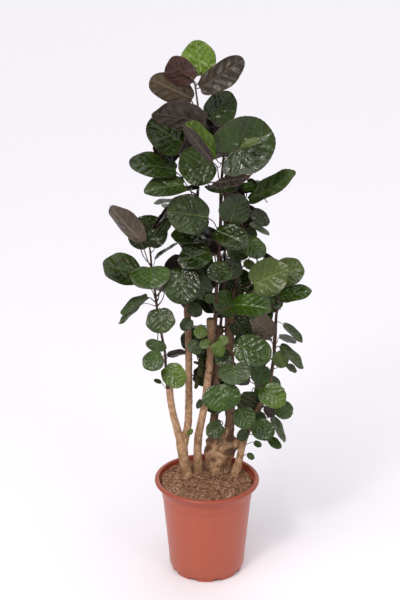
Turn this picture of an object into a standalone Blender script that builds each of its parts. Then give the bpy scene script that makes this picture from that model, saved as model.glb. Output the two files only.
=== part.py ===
"""A potted aralia: a branched house plant with round leaves, in a nursery pot full of potting soil.

Run it with blender --background --python part.py, or from Blender's text editor. It builds one object for
each piece: the pot, the soil, four woody stems and the larger leaves, each leaf with its own stalk.

The tables below are in centimetres and degrees. The model itself is in metres, +Z up, with the origin on the
floor under the middle of the pot and the plant's front towards -Y.
"""

from collections import namedtuple
from math import asin, cos, exp, hypot, pi, radians, sin

import bmesh
import bpy
from mathutils import Matrix, Vector

CM = 0.01
GAP = 0.0004  # metres left between pieces that would touch

# ---------------------------------------------------------------- pot, centimetres
RIM_RADIUS = 12.0
RIM_TOP = 22.9
RIM_LIP = 1.0  # height of the rolled lip
MOUTH_RADIUS = 11.0  # inside the lip
NECK_RADIUS = 10.4  # outside, just under the lip
STEP_HEIGHT = 18.4  # a shallow step runs round the wall here
BODY_RADIUS = 10.05  # outside, just under the step
BASE_RADIUS = 8.65  # outside, above the foot
FOOT_RADIUS = 8.15
FOOT_HEIGHT = 1.1
FOOT_INNER_RADIUS = 7.1
PAD_RADIUS = 4.5  # the middle of the underside stands on the floor too
FLOOR_RISE = 0.7  # the rest of the floor is this far up
WALL = 0.28
POT_SIDES = 36
SLOT_COUNT = 9  # drain slots cut through the foot
SLOT_WIDTH = 2.0
SLOT_HEIGHT = 0.6
FIRST_SLOT_TURN = 17.0  # degrees round from the front

# ---------------------------------------------------------------- soil and feet, centimetres
SOIL_TOP = 21.5
SOIL_DEPTH_OF_FEET = 3.0
SOIL_SIDES = 32

# ---------------------------------------------------------------- how places are written
# Every place on the plant is written as it is seen from EYE: x and z where the line of sight meets the upright
# plane through the pot's axis, and y, how far behind (or, if negative, in front of) that plane it stands.
EYE = Vector((-1.6, -270.0, 165.2))


def seen(x, z, y):
    """The real place, in metres, of a point seen at (x, z) and standing y behind the plane."""
    on_plane = Vector((x, 0.0, z))
    return (EYE + (on_plane - EYE) * (1.0 + y / -EYE.y)) * CM


# ---------------------------------------------------------------- stems
# Each run of wood is a list of (x, z, y, radius). A run that starts with "foot" stands in the soil.
STEM_RUNS = {
    "stem_left": (
        (
            (-4.2, 22.3, 1.5, 1.1), (-4.7, 24.5, 1.6, 1.15), (-5.3, 27.5, 1.4, 1.2),
            (-5.7, 30.5, 1.1, 1.3), (-6.2, 32.8, 0.7, 1.0), (-6.9, 35.5, 0.2, 0.85),
            (-7.7, 39.0, -0.3, 0.8), (-8.3, 43.0, -0.5, 0.8), (-8.5, 46.8, -0.5, 0.85),
        ),
        (
            (-5.5, 30.0, 1.2, 1.0), (-4.9, 33.0, 1.4, 0.95), (-4.3, 36.5, 1.5, 0.88),
            (-4.1, 43.0, 1.5, 0.82), (-4.1, 51.0, 1.3, 0.78), (-4.2, 58.0, 1.1, 0.75),
            (-4.4, 64.8, 0.9, 0.78),
        ),
        (
            (-8.7, 45.6, -0.6, 0.36), (-9.2, 49.5, -0.9, 0.34), (-9.3, 53.0, -1.2, 0.33),
            (-9.9, 57.0, -1.2, 0.32), (-10.8, 62.5, -0.9, 0.31), (-11.4, 68.0, -0.6, 0.3),
            (-12.0, 73.0, -0.3, 0.28), (-12.3, 77.0, 0.2, 0.24), (-12.6, 79.5, 0.6, 0.2),
        ),
        (
            (-4.3, 63.6, 0.9, 0.45), (-4.0, 68.5, 1.0, 0.42), (-3.5, 74.0, 1.4, 0.4),
            (-2.9, 80.0, 1.7, 0.38), (-2.3, 86.0, 1.9, 0.36), (-2.0, 92.0, 1.9, 0.34),
            (-1.7, 98.0, 1.7, 0.32), (-1.6, 104.0, 1.3, 0.28), (-2.1, 109.5, 0.8, 0.24),
            (-2.7, 113.8, 0.4, 0.2),
        ),
    ),
    "stem_middle": (
        (
            (-2.0, 23.2, 3.2, 0.98), (-2.05, 26.0, 3.1, 0.98), (-2.15, 30.0, 2.7, 0.95),
            (-1.9, 33.8, 2.2, 0.92), (-1.2, 37.5, 1.7, 0.86), (-0.5, 41.5, 1.3, 0.84),
            (0.0, 46.0, 1.0, 0.84), (0.5, 51.0, 0.8, 0.8), (0.8, 56.0, 0.5, 0.78),
            (0.8, 59.5, 0.4, 0.95), (0.7, 61.8, 0.3, 0.9),
        ),
        (
            (1.2, 56.4, 0.8, 0.46), (1.8, 61.0, 1.3, 0.45), (1.9, 66.0, 1.5, 0.44),
            (2.1, 71.0, 1.5, 0.42), (2.5, 77.0, 1.4, 0.4), (2.8, 84.0, 1.2, 0.38),
            (2.8, 90.0, 1.0, 0.35), (3.1, 95.0, 0.8, 0.32), (3.4, 99.5, 0.6, 0.28),
            (3.0, 103.5, 0.5, 0.23), (2.2, 106.5, 0.4, 0.2),
        ),
    ),
    "stem_burl": (
        (
            (2.7, 24.1, 4.9, 2.5), (2.7, 26.5, 4.8, 2.7), (3.2, 29.5, 4.6, 2.9),
            (4.0, 32.0, 4.6, 2.7), (4.6, 34.5, 4.7, 1.6), (5.1, 38.0, 4.6, 1.2),
            (5.2, 44.0, 4.4, 1.12), (5.0, 51.0, 4.2, 1.08), (4.9, 58.0, 4.0, 1.05),
            (4.8, 65.0, 4.0, 1.05),
        ),
        (
            (0.8, 26.0, 4.9, 1.1), (0.5, 29.0, 4.8, 1.1), (1.2, 33.0, 4.5, 1.05),
            (1.7, 39.0, 3.9, 0.95), (1.9, 45.0, 3.6, 0.9), (2.3, 52.0, 3.6, 0.85),
            (2.8, 60.0, 3.6, 0.82),
        ),
        (
            (2.8, 58.8, 3.6, 0.36), (3.4, 66.0, 3.7, 0.34), (3.7, 74.0, 3.6, 0.33),
            (3.7, 82.0, 3.2, 0.32), (3.7, 89.0, 2.8, 0.3), (4.2, 95.0, 2.4, 0.26),
            (4.6, 99.0, 2.2, 0.2),
        ),
        (
            (4.6, 28.5, 4.2, 1.3), (5.8, 30.8, 3.9, 1.25), (7.4, 32.6, 4.0, 0.8),
            (9.2, 34.8, 4.4, 0.6),
        ),
        (
            (5.0, 63.6, 4.0, 0.42), (6.0, 69.0, 4.6, 0.38), (6.9, 75.0, 5.2, 0.35),
            (7.3, 81.0, 5.4, 0.32), (7.4, 85.5, 5.2, 0.27), (7.4, 88.6, 5.0, 0.2),
        ),
    ),
    "stem_right": (
        (
            (6.2, 22.7, 2.3, 0.95), (6.8, 25.0, 2.3, 0.98), (7.4, 27.4, 2.3, 0.85),
            (8.0, 30.5, 2.3, 0.8), (9.0, 34.0, 2.1, 0.74), (10.7, 38.0, 1.9, 0.68),
            (12.4, 41.8, 1.7, 0.62), (13.8, 46.0, 1.4, 0.5), (14.6, 51.0, 1.1, 0.4),
            (15.0, 57.0, 0.8, 0.37), (15.1, 62.0, 0.6, 0.34), (15.6, 66.5, 0.4, 0.28),
            (16.3, 69.3, 0.3, 0.2),
        ),
    ),
}
FEET = {"stem_left": 1.1, "stem_middle": 0.98, "stem_burl": 2.5, "stem_right": 0.95}
WOOD_SIDES = {"trunk": 10, "shoot": 6}
THICK_WOOD = 0.6  # runs thicker than this are trunks
RUN_STEP = 2.2  # centimetres between the rings of a run

# ---------------------------------------------------------------- leaves
# stem and run say where the stalk starts, "up" the seen height it starts at. base is where the stalk meets the
# blade and tip is the blade's far end, each (x, z, y). look is the way the upper face looks: degrees round from
# the front to the right, and degrees above level. lobe is how deeply the base is notched, cup how far the
# halves rise to each side of the midrib, arch how far the blade bows up along it.
Leaf = namedtuple("Leaf", "name stem run up base tip width look lobe cup arch")
LEAVES = tuple(
    Leaf(*row)
    for row in (
        ("leaf_01", "stem_left", 3, 112.5, (-1.3, 115.2, 2.4), (-2.4, 122.3, 3.4), 7.6, (10, 5), 0.1, 30, -0.04),
        ("leaf_02", "stem_left", 3, 113.2, (-2.9, 114.4, -0.6), (-8.3, 118.0, -2.2), 6.0, (190, -10), 0.1, 35, 0.06),
        ("leaf_03", "stem_left", 3, 112.6, (-1.5, 112.6, -3.6), (7.3, 118.6, -5.2), 6.4, (170, -38), 0.15, 25, 0.0),
        ("leaf_04", "stem_left", 3, 107.0, (-3.3, 110.4, 0.2), (-11.9, 114.4, -1.8), 6.4, (-10, -15), 0.1, 25, 0.05),
        ("leaf_05", "stem_left", 3, 105.5, (-0.9, 105.4, -4.6), (-11.3, 107.2, -6.4), 7.6, (185, 0), 0.15, 20, 0.05),
        ("leaf_06", "stem_left", 3, 98.5, (-4.7, 100.8, -1.0), (-12.3, 105.6, -1.8), 8.6, (0, 20), 0.15, 20, -0.03),
        ("leaf_07", "stem_middle", 1, 104.5, (0.9, 105.7, -0.8), (4.9, 111.6, -1.4), 6.8, (12, 15), 0.12, 25, -0.03),
        ("leaf_08", "stem_middle", 1, 95.5, (4.6, 98.8, -4.6), (13.6, 103.6, -4.0), 12.4, (12, 12), 0.58, 14, -0.03),
        ("leaf_09", "stem_middle", 1, 97.0, (1.7, 98.3, -5.6), (-4.6, 105.3, -7.6), 6.0, (35, 25), 0.08, 62, 0.03),
        ("leaf_10", "stem_middle", 1, 93.0, (1.2, 97.0, -2.0), (-6.0, 95.4, -3.2), 8.8, (-5, 22), 0.2, 18, -0.03),
        ("leaf_11", "stem_left", 3, 89.5, (-6.7, 95.3, -0.6), (-16.4, 96.7, -2.0), 7.6, (-5, 58), 0.15, 22, 0.02),
        ("leaf_12", "stem_left", 3, 86.5, (-4.9, 92.2, -2.6), (-13.2, 90.4, -4.2), 7.0, (-5, 62), 0.15, 22, 0.04),
        ("leaf_13", "stem_middle", 1, 82.0, (0.1, 84.9, -4.2), (-8.7, 86.3, -6.0), 8.6, (-5, 26), 0.15, 16, 0.02),
        ("leaf_14", "stem_left", 2, 74.5, (-14.2, 79.5, -3.0), (-20.5, 87.2, -4.4), 6.0, (150, -5), 0.1, 40, 0.0),
        ("leaf_15", "stem_left", 2, 75.5, (-12.5, 78.3, 2.6), (-13.2, 85.4, 4.2), 9.0, (-5, 20), 0.25, 22, -0.03),
        ("leaf_16", "stem_left", 2, 70.0, (-14.8, 72.3, -2.2), (-22.6, 74.0, -3.6), 7.4, (-8, 42), 0.15, 18, 0.02),
        ("leaf_17", "stem_left", 2, 68.0, (-12.4, 73.6, -4.0), (-12.4, 68.6, -7.6), 8.8, (-3, 40), 0.25, 16, 0.03),
        ("leaf_18", "stem_left", 3, 70.0, (-5.5, 73.2, -4.6), (-5.4, 65.1, -7.4), 8.0, (-5, 22), 0.2, 16, 0.02),
        ("leaf_19", "stem_left", 2, 58.5, (-10.5, 64.0, -4.4), (-10.0, 58.3, -6.2), 6.4, (-2, 28), 0.15, 10, 0.03),
        ("leaf_20", "stem_left", 2, 54.0, (-9.9, 52.8, -4.4), (-14.2, 50.4, -5.4), 4.6, (-8, 30), 0.12, 14, 0.03),
        ("leaf_21", "stem_left", 2, 49.0, (-9.2, 50.2, -3.2), (-5.4, 45.8, -4.8), 5.4, (5, 30), 0.15, 12, 0.04),
        ("leaf_22", "stem_middle", 1, 73.5, (0.5, 77.3, -3.2), (-6.2, 74.6, -5.2), 6.0, (-5, 40), 0.15, 16, 0.02),
        ("leaf_23", "stem_left", 3, 76.5, (-0.8, 81.0, -1.2), (-7.6, 80.4, -3.2), 6.4, (0, 66), 0.15, 14, 0.02),
        ("leaf_24", "stem_middle", 1, 69.0, (4.6, 73.6, -5.0), (0.4, 71.2, -7.0), 5.2, (0, 44), 0.2, 16, 0.02),
        ("leaf_25", "stem_burl", 2, 80.0, (4.9, 83.8, -2.6), (6.8, 90.1, -2.2), 6.8, (10, 10), 0.2, 20, 0.0),
        ("leaf_26", "stem_burl", 4, 85.0, (8.9, 88.9, -1.0), (18.3, 94.7, -3.2), 6.4, (10, 62), 0.12, 26, -0.04),
        ("leaf_27", "stem_burl", 2, 87.0, (4.6, 90.6, 5.0), (12.6, 91.9, 5.0), 6.6, (0, 82), 0.12, 16, 0.0),
        ("leaf_28", "stem_middle", 1, 91.0, (1.3, 92.4, -7.4), (8.8, 93.7, -9.4), 4.2, (175, -72), 0.12, 16, 0.0),
        ("leaf_29", "stem_middle", 1, 79.0, (1.8, 81.9, -3.8), (8.8, 78.6, -6.4), 6.0, (5, 48), 0.15, 14, 0.03),
        ("leaf_30", "stem_burl", 4, 75.5, (8.3, 79.6, -0.6), (11.9, 76.0, -2.6), 5.2, (15, 40), 0.12, 14, 0.03),
        ("leaf_31", "stem_burl", 4, 67.0, (9.8, 69.7, -5.0), (17.4, 73.3, -6.0), 8.2, (5, 28), 0.15, 14, 0.02),
        ("leaf_32", "stem_right", 0, 67.8, (15.0, 71.6, -0.8), (20.7, 73.9, -0.6), 6.4, (10, 28), 0.15, 16, 0.02),
        ("leaf_33", "stem_right", 0, 65.5, (15.9, 67.0, -2.4), (22.7, 68.0, -3.8), 5.0, (10, 60), 0.12, 16, 0.03),
        ("leaf_34", "stem_middle", 1, 62.5, (6.0, 65.0, -6.6), (14.0, 63.9, -8.6), 6.8, (5, 52), 0.3, 12, 0.04),
        ("leaf_35", "stem_right", 0, 57.0, (14.4, 57.8, -1.5), (10.3, 61.7, -2.2), 5.4, (200, -5), 0.12, 18, 0.02),
        ("leaf_36", "stem_burl", 1, 52.0, (6.3, 55.7, -3.6), (14.2, 52.4, -4.8), 6.9, (5, 26), 0.15, 10, 0.02),
        ("leaf_37", "stem_middle", 0, 49.0, (5.8, 50.8, -6.8), (6.4, 46.0, -9.4), 7.4, (5, 42), 0.3, 12, 0.03),
        ("leaf_38", "stem_right", 0, 42.5, (12.2, 45.1, -2.6), (17.4, 41.2, -4.4), 5.8, (10, 28), 0.15, 12, 0.03),
        ("leaf_39", "stem_right", 0, 40.5, (15.6, 41.0, -0.8), (19.0, 38.3, -1.8), 4.4, (15, 30), 0.12, 14, 0.03),
        ("leaf_40", "stem_right", 0, 35.5, (10.6, 36.4, -2.2), (14.9, 33.0, -3.6), 5.0, (5, 32), 0.15, 12, 0.03),
        ("leaf_41", "stem_middle", 0, 42.5, (2.8, 46.0, -7.8), (3.8, 39.4, -9.8), 8.4, (0, 28), 0.12, 10, 0.03),
        ("leaf_42", "stem_burl", 0, 38.0, (7.2, 40.2, -5.4), (9.6, 35.3, -7.0), 5.2, (5, 28), 0.12, 12, 0.03),
        ("leaf_43", "stem_right", 0, 54.5, (16.2, 55.4, -0.8), (21.3, 49.9, -2.0), 4.2, (60, 40), 0.12, 26, 0.0),
        ("leaf_44", "stem_left", 2, 59.5, (-11.0, 56.7, -1.7), (-11.6, 54.0, -2.3), 4.8, (-5, 46), 0.15, 12, 0.02),
        ("leaf_45", "stem_left", 3, 96.0, (-2.8, 99.0, 6.0), (-6.4, 104.0, 9.5), 8.0, (195, 35), 0.2, 15, 0.03),
        ("leaf_46", "stem_middle", 1, 94.0, (4.2, 97.0, 5.6), (8.4, 101.0, 9.6), 8.4, (165, 35), 0.2, 15, 0.03),
        ("leaf_47", "stem_left", 3, 82.0, (-4.6, 86.0, 6.4), (-7.6, 88.0, 13.0), 8.0, (200, 45), 0.2, 15, 0.03),
        ("leaf_48", "stem_burl", 4, 80.0, (8.2, 83.0, 9.6), (9.4, 85.5, 16.0), 8.0, (165, 45), 0.2, 15, 0.03),
        ("leaf_49", "stem_burl", 2, 71.0, (2.4, 76.0, 8.0), (0.4, 76.5, 15.5), 8.4, (182, 45), 0.2, 15, 0.03),
        ("leaf_50", "stem_left", 2, 66.0, (-12.6, 69.5, 3.4), (-16.4, 71.0, 9.4), 7.4, (212, 45), 0.2, 15, 0.03),
        ("leaf_51", "stem_burl", 1, 55.0, (-0.4, 60.0, 8.0), (-3.6, 59.0, 14.2), 7.6, (195, 45), 0.2, 15, 0.03),
        ("leaf_52", "stem_burl", 0, 58.0, (8.2, 62.0, 8.6), (10.4, 62.0, 15.4), 7.8, (165, 45), 0.2, 15, 0.03),
        ("leaf_53", "stem_burl", 0, 46.0, (5.2, 50.0, 9.6), (3.6, 47.0, 15.2), 7.4, (185, 45), 0.2, 15, 0.03),
        ("leaf_54", "stem_right", 0, 44.0, (13.4, 46.0, 6.0), (15.0, 44.0, 11.6), 6.4, (155, 45), 0.2, 15, 0.03),
    )
)
LEAF_SPREAD = 1.3  # every leaf stands this much further forward or back than its row says
BLADE_SIDES = 14
BLADE_THICKNESS = 0.12
STALK_RADIUS = 0.13
STALK_SIDES = 6

# ---------------------------------------------------------------- materials: colour, roughness
FINISHES = {
    "pot_plastic": ((0.48, 0.13, 0.09), 0.45),
    "potting_soil": ((0.2, 0.12, 0.08), 0.95),
    "bark": ((0.42, 0.27, 0.17), 0.85),
    "leaf": ((0.05, 0.12, 0.04), 0.35),
}


def material(name):
    """The plain material of one finish, made once."""
    found = bpy.data.materials.get(name)
    if found:
        return found
    colour, roughness = FINISHES[name]
    made = bpy.data.materials.new(name)
    made.use_nodes = True
    shader = made.node_tree.nodes["Principled BSDF"]
    shader.inputs["Base Color"].default_value = (*colour, 1.0)
    shader.inputs["Roughness"].default_value = roughness
    shader.inputs["Metallic"].default_value = 0.0
    return made


def add_object(name, mesh, finish=None):
    """Links a mesh to the scene as a named object."""
    made = bpy.data.objects.new(name, mesh)
    bpy.context.scene.collection.objects.link(made)
    if finish:
        mesh.materials.append(material(finish))
    return made


def add_helper(name, mesh):
    """An object that only cuts or joins another, and isn't a piece itself."""
    made = add_object(name, mesh)
    made.hide_render = True
    made.display_type = "WIRE"
    return made


def add_boolean(target, other, operation):
    """Joins another object to the target or cuts it away, as a live modifier."""
    modifier = target.modifiers.new(f"{operation.lower()}_{other.name}", "BOOLEAN")
    modifier.operation = operation
    modifier.object = other


def turned_mesh(name, profile, sides):
    """A solid turned round the Z axis from a closed outline of (radius, height) in centimetres, outer side first."""
    mesh = bpy.data.meshes.new(name)
    shape = bmesh.new()
    ring = [shape.verts.new((radius * CM, 0.0, height * CM)) for radius, height in profile]
    edges = [shape.edges.new(pair) for pair in zip(ring, ring[1:])]
    if profile[0][0] > 0.0 and profile[-1][0] > 0.0:
        edges.append(shape.edges.new((ring[-1], ring[0])))
    bmesh.ops.spin(
        shape, geom=ring + edges, cent=(0, 0, 0), axis=(0, 0, 1), angle=2 * pi, steps=sides, use_merge=True
    )
    bmesh.ops.remove_doubles(shape, verts=shape.verts, dist=1e-6)
    bmesh.ops.recalc_face_normals(shape, faces=shape.faces)
    shape.to_mesh(mesh)
    shape.free()
    return mesh


def arc(centre, radius, start, end, count):
    """Points of an arc in an outline, centimetres, from start to end degrees."""
    step = (end - start) / (count - 1)
    return [
        (centre[0] + radius * cos(radians(start + i * step)), centre[1] + radius * sin(radians(start + i * step)))
        for i in range(count)
    ]


def make_pot():
    """The nursery pot: a tapering wall with a rolled lip, standing on a slotted foot."""
    lip_outer = 0.5 * RIM_LIP
    outline = [
        (0.0, 0.0),
        (PAD_RADIUS, 0.0),
        (PAD_RADIUS + 0.2, FLOOR_RISE),
        (FOOT_INNER_RADIUS - 0.1, FLOOR_RISE),
        (FOOT_INNER_RADIUS, 0.0),
        (FOOT_RADIUS, 0.0),
        (FOOT_RADIUS + 0.1, FOOT_HEIGHT),
        (BASE_RADIUS, FOOT_HEIGHT + 0.35),
        (BODY_RADIUS, STEP_HEIGHT),
        (BODY_RADIUS + 0.14, STEP_HEIGHT + 0.1),
        (NECK_RADIUS, RIM_TOP - RIM_LIP - 0.5),
        (NECK_RADIUS + 0.35, RIM_TOP - RIM_LIP + 0.05),
        *arc((RIM_RADIUS - lip_outer, RIM_TOP - lip_outer), lip_outer, -75, 90, 6),
        (MOUTH_RADIUS + 0.15, RIM_TOP),
        (MOUTH_RADIUS, RIM_TOP - 0.15),
        (MOUTH_RADIUS - 0.1, RIM_TOP - RIM_LIP - 0.3),
        (NECK_RADIUS - WALL, RIM_TOP - RIM_LIP - 1.0),
        (BODY_RADIUS - WALL, STEP_HEIGHT - 0.2),
        (BASE_RADIUS - WALL, FLOOR_RISE + WALL),
        (0.0, FLOOR_RISE + WALL),
    ]
    pot = add_object("pot", turned_mesh("pot", outline, POT_SIDES), "pot_plastic")
    pot.data.shade_smooth()
    pot.data.set_sharp_from_angle(angle=radians(35))
    slots = bmesh.new()
    for number in range(SLOT_COUNT):
        turn = Matrix.Rotation(radians(FIRST_SLOT_TURN + number * 360.0 / SLOT_COUNT), 4, "Z")
        size = Matrix.Diagonal((SLOT_WIDTH * CM, 2.0 * CM, 2 * SLOT_HEIGHT * CM, 1.0))
        place = turn @ Matrix.Translation((0.0, -(FOOT_RADIUS - 0.2) * CM, 0.0)) @ size
        bmesh.ops.create_cube(slots, size=1.0, matrix=place)
    cutter_mesh = bpy.data.meshes.new("drain_slots")
    slots.to_mesh(cutter_mesh)
    slots.free()
    add_boolean(pot, add_helper("drain_slots", cutter_mesh), "DIFFERENCE")
    return pot


def make_soil():
    """The potting soil: fills the pot to just under the lip, with a socket for each stem's foot."""
    clear = GAP / CM
    floor = FLOOR_RISE + WALL + clear
    outline = [
        (0.0, floor),
        (BASE_RADIUS - WALL - 0.1, floor),
        (BODY_RADIUS - WALL - 0.1, STEP_HEIGHT - 0.2),
        (NECK_RADIUS - WALL - 0.1, RIM_TOP - RIM_LIP - 1.0),
        (MOUTH_RADIUS - 0.42, SOIL_TOP - 0.15),
        (MOUTH_RADIUS - 1.4, SOIL_TOP - 0.02),
        (0.0, SOIL_TOP),
    ]
    soil = add_object("soil", turned_mesh("soil", outline, SOIL_SIDES), "potting_soil")
    for name, radius in FEET.items():
        x, z, y, _ = STEM_RUNS[name][0][0]
        foot = seen(x, z, y)
        well = bmesh.new()
        depth = (SOIL_DEPTH_OF_FEET + 2.0) * CM
        place = Matrix.Translation((foot.x, foot.y, SOIL_TOP * CM - SOIL_DEPTH_OF_FEET * CM - GAP + depth / 2))
        bmesh.ops.create_cone(
            well, cap_ends=True, segments=20, radius1=radius * CM + 2 * GAP, radius2=radius * CM + 2 * GAP,
            depth=depth, matrix=place,
        )
        mesh = bpy.data.meshes.new(f"well_{name}")
        well.to_mesh(mesh)
        well.free()
        add_boolean(soil, add_helper(f"well_{name}", mesh), "DIFFERENCE")
    return soil


def smooth_run(points, step):
    """Points (Vector, radius) along a smooth curve through the given ones, about a step apart, in metres."""
    found = []
    for i in range(len(points) - 1):
        before, start, end, after = (points[min(max(i + k, 0), len(points) - 1)] for k in (-1, 0, 1, 2))
        count = max(1, round((end[0] - start[0]).length / step))
        for k in range(count):
            t = k / count
            weights = (
                -0.5 * t + t * t - 0.5 * t ** 3,
                1.0 - 2.5 * t * t + 1.5 * t ** 3,
                0.5 * t + 2.0 * t * t - 1.5 * t ** 3,
                -0.5 * t * t + 0.5 * t ** 3,
            )
            place = sum((w * p[0] for w, p in zip(weights, (before, start, end, after))), Vector())
            found.append((place, start[1] + (end[1] - start[1]) * t))
    found.append(points[-1])
    return found


def tube_mesh(name, path, sides):
    """A closed tube along (Vector, radius) points, made as a bevelled curve with filled caps."""
    curve = bpy.data.curves.new(name, "CURVE")
    curve.dimensions = "3D"
    curve.bevel_depth = 1.0
    curve.bevel_resolution = sides // 2 - 2
    curve.use_fill_caps = True
    line = curve.splines.new("POLY")
    line.points.add(len(path) - 1)
    for point, (place, radius) in zip(line.points, path):
        point.co = (*place, 1.0)
        point.radius = radius
    holder = bpy.data.objects.new(name, curve)
    mesh = bpy.data.meshes.new_from_object(holder)
    bpy.data.objects.remove(holder)
    bpy.data.curves.remove(curve)
    shape = bmesh.new()
    shape.from_mesh(mesh)
    bmesh.ops.remove_doubles(shape, verts=shape.verts, dist=1e-6)
    bmesh.ops.recalc_face_normals(shape, faces=shape.faces)
    shape.to_mesh(mesh)
    shape.free()
    return mesh


def run_path(name, number):
    """One run of a stem as (Vector, radius) points in metres."""
    run = STEM_RUNS[name][number]
    points = [(seen(x, z, y), radius * CM) for x, z, y, radius in run]
    path = smooth_run(points, RUN_STEP * CM)
    if number == 0:
        foot = path[0][0].copy()
        radius = FEET[name] * CM
        soil_top = SOIL_TOP * CM
        bottom = Vector((foot.x, foot.y, soil_top - SOIL_DEPTH_OF_FEET * CM))
        collar = Vector((foot.x, foot.y, soil_top + 0.35 * CM))
        above = [p for p in path if p[0].z > soil_top + 1.2 * CM]
        path = [(bottom, radius), (collar, radius), *above]
    return path


def make_stem(name):
    """One woody stem with its shoots, standing in the soil."""
    stem = None
    for number in range(len(STEM_RUNS[name])):
        path = run_path(name, number)
        thick = max(radius for _, radius in path) > THICK_WOOD * CM
        mesh = tube_mesh(f"{name}_{number}", path, WOOD_SIDES["trunk" if thick else "shoot"])
        if stem is None:
            mesh.name = name
            stem = add_object(name, mesh, "bark")
        else:
            add_boolean(stem, add_helper(f"{name}_run_{number}", mesh), "UNION")
    stem.data.shade_smooth()
    return stem


def leaf_ends(leaf):
    """Where a leaf's blade starts and ends, in metres."""
    return tuple(seen(x, z, y * LEAF_SPREAD) for x, z, y in (leaf.base, leaf.tip))


def blade_outline(turn, lobe):
    """How far the blade's edge is from its middle, as a share, at a turn in radians from the tip."""
    from_base = pi - abs(turn)
    notch = lobe * exp(-((from_base / 0.30) ** 2))
    return (1.0 - notch) * (1.0 + 0.03 * exp(-((turn / 0.35) ** 2)))


def blade_surface(x, y, length, half_width, cup, arch):
    """Bends a flat point of the blade: x runs from the base (0) to the tip (length), y across."""
    bend = radians(cup)
    share = x / length
    across = half_width * sin(bend * y / half_width) / bend
    rise = half_width * (1.0 - cos(bend * y / half_width)) / bend
    return Vector((x, across, rise + 4.0 * arch * length * share * (1.0 - share)))


def leaf_frame(base, tip, look):
    """The matrix that carries the blade's own axes (along, across, up from the upper face) to their place."""
    along = (tip - base).normalized()
    round_, above = (radians(angle) for angle in look)
    face = Vector((sin(round_) * cos(above), -cos(round_) * cos(above), sin(above)))
    up = (face - along * face.dot(along)).normalized()
    across = up.cross(along)
    turn = Matrix((along, across, up)).transposed()
    return Matrix.Translation(base) @ turn.to_4x4()


def blade_mesh(name, leaf):
    """The blade as a thin sheet in its own place: two rings of points round a middle one."""
    base, tip = leaf_ends(leaf)
    length = (tip - base).length
    half_width = leaf.width * CM / 2
    reach = length / (2.0 - leaf.lobe)
    middle = length - reach
    frame = leaf_frame(base, tip, leaf.look)
    shape = bmesh.new()

    def corner(share, turn):
        out = share * blade_outline(turn, leaf.lobe)
        flat = (middle + reach * out * cos(turn), half_width * out * sin(turn))
        return shape.verts.new(frame @ blade_surface(*flat, length, half_width, leaf.cup, leaf.arch))

    centre = corner(0.0, 0.0)
    # Closer together near the base, where the notch is.
    turns = [2 * pi * i / BLADE_SIDES for i in range(BLADE_SIDES)]
    turns = sorted({*turns, pi - 0.25, pi + 0.25}) if leaf.lobe > 0.2 else turns
    rings = [[corner(share, turn if turn <= pi else turn - 2 * pi) for turn in turns] for share in (0.55, 1.0)]
    for i in range(len(turns)):
        k = (i + 1) % len(turns)
        shape.faces.new((centre, rings[0][i], rings[0][k]))
        shape.faces.new((rings[0][i], rings[1][i], rings[1][k], rings[0][k]))
    mesh = bpy.data.meshes.new(name)
    shape.to_mesh(mesh)
    shape.free()
    return mesh


def stalk_path(leaf):
    """The leaf's stalk, from just outside the wood to just inside the blade."""
    run = run_path(leaf.stem, leaf.run)
    start_height = seen(0.0, leaf.up, 0.0).z
    on_stem, stem_radius = min(run, key=lambda p: abs(p[0].z - start_height))
    index = [p[0] for p in run].index(on_stem)
    wood = (run[min(index + 1, len(run) - 1)][0] - run[max(index - 1, 0)][0]).normalized()
    base, tip = leaf_ends(leaf)
    outward = base - on_stem
    outward = (outward - wood * outward.dot(wood)).normalized()
    radius = STALK_RADIUS * CM
    start = on_stem + outward * (stem_radius + 2 * GAP)
    first = start + outward * 0.5 * CM
    along = (tip - base).normalized()
    inside = base + along * 0.35 * CM
    reach = (base - first).length
    before = base - along * min(0.3 * reach, 1.5 * CM)
    points = [(start, radius), (first, radius), (first.lerp(before, 0.5), radius), (before, radius), (inside, radius)]
    return [points[0], *smooth_run(points[1:], 1.6 * CM)]


def make_leaf(leaf):
    """A leaf: its blade and its stalk, grown as one."""
    blade = add_object(leaf.name, blade_mesh(leaf.name, leaf), "leaf")
    thicken = blade.modifiers.new("thickness", "SOLIDIFY")
    thicken.thickness = BLADE_THICKNESS * CM
    thicken.offset = 0.0
    stalk = add_helper(f"stalk_{leaf.name}", tube_mesh(f"stalk_{leaf.name}", stalk_path(leaf), STALK_SIDES))
    add_boolean(blade, stalk, "UNION")
    blade.data.shade_smooth()
    return blade


def main():
    for found in list(bpy.data.objects):
        bpy.data.objects.remove(found)
    make_pot()
    make_soil()
    for name in STEM_RUNS:
        make_stem(name)
    for leaf in LEAVES:
        make_leaf(leaf)


main()
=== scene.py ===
"""The looks of the potted aralia: quilted glossy leaves on barked stems, in a moulded nursery pot of soil.

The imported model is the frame. Each piece below stands for one of its nodes, or is a small leaf or a bit of
litter that the frame leaves out. Lengths in the tables are centimetres and degrees; Blender's are metres.
"""

import random
from collections import namedtuple
from math import cos, hypot, pi, radians, sin

import bmesh
import bpy
import numpy as np
from mathutils import Matrix, Vector, noise
from mathutils.kdtree import KDTree


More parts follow.
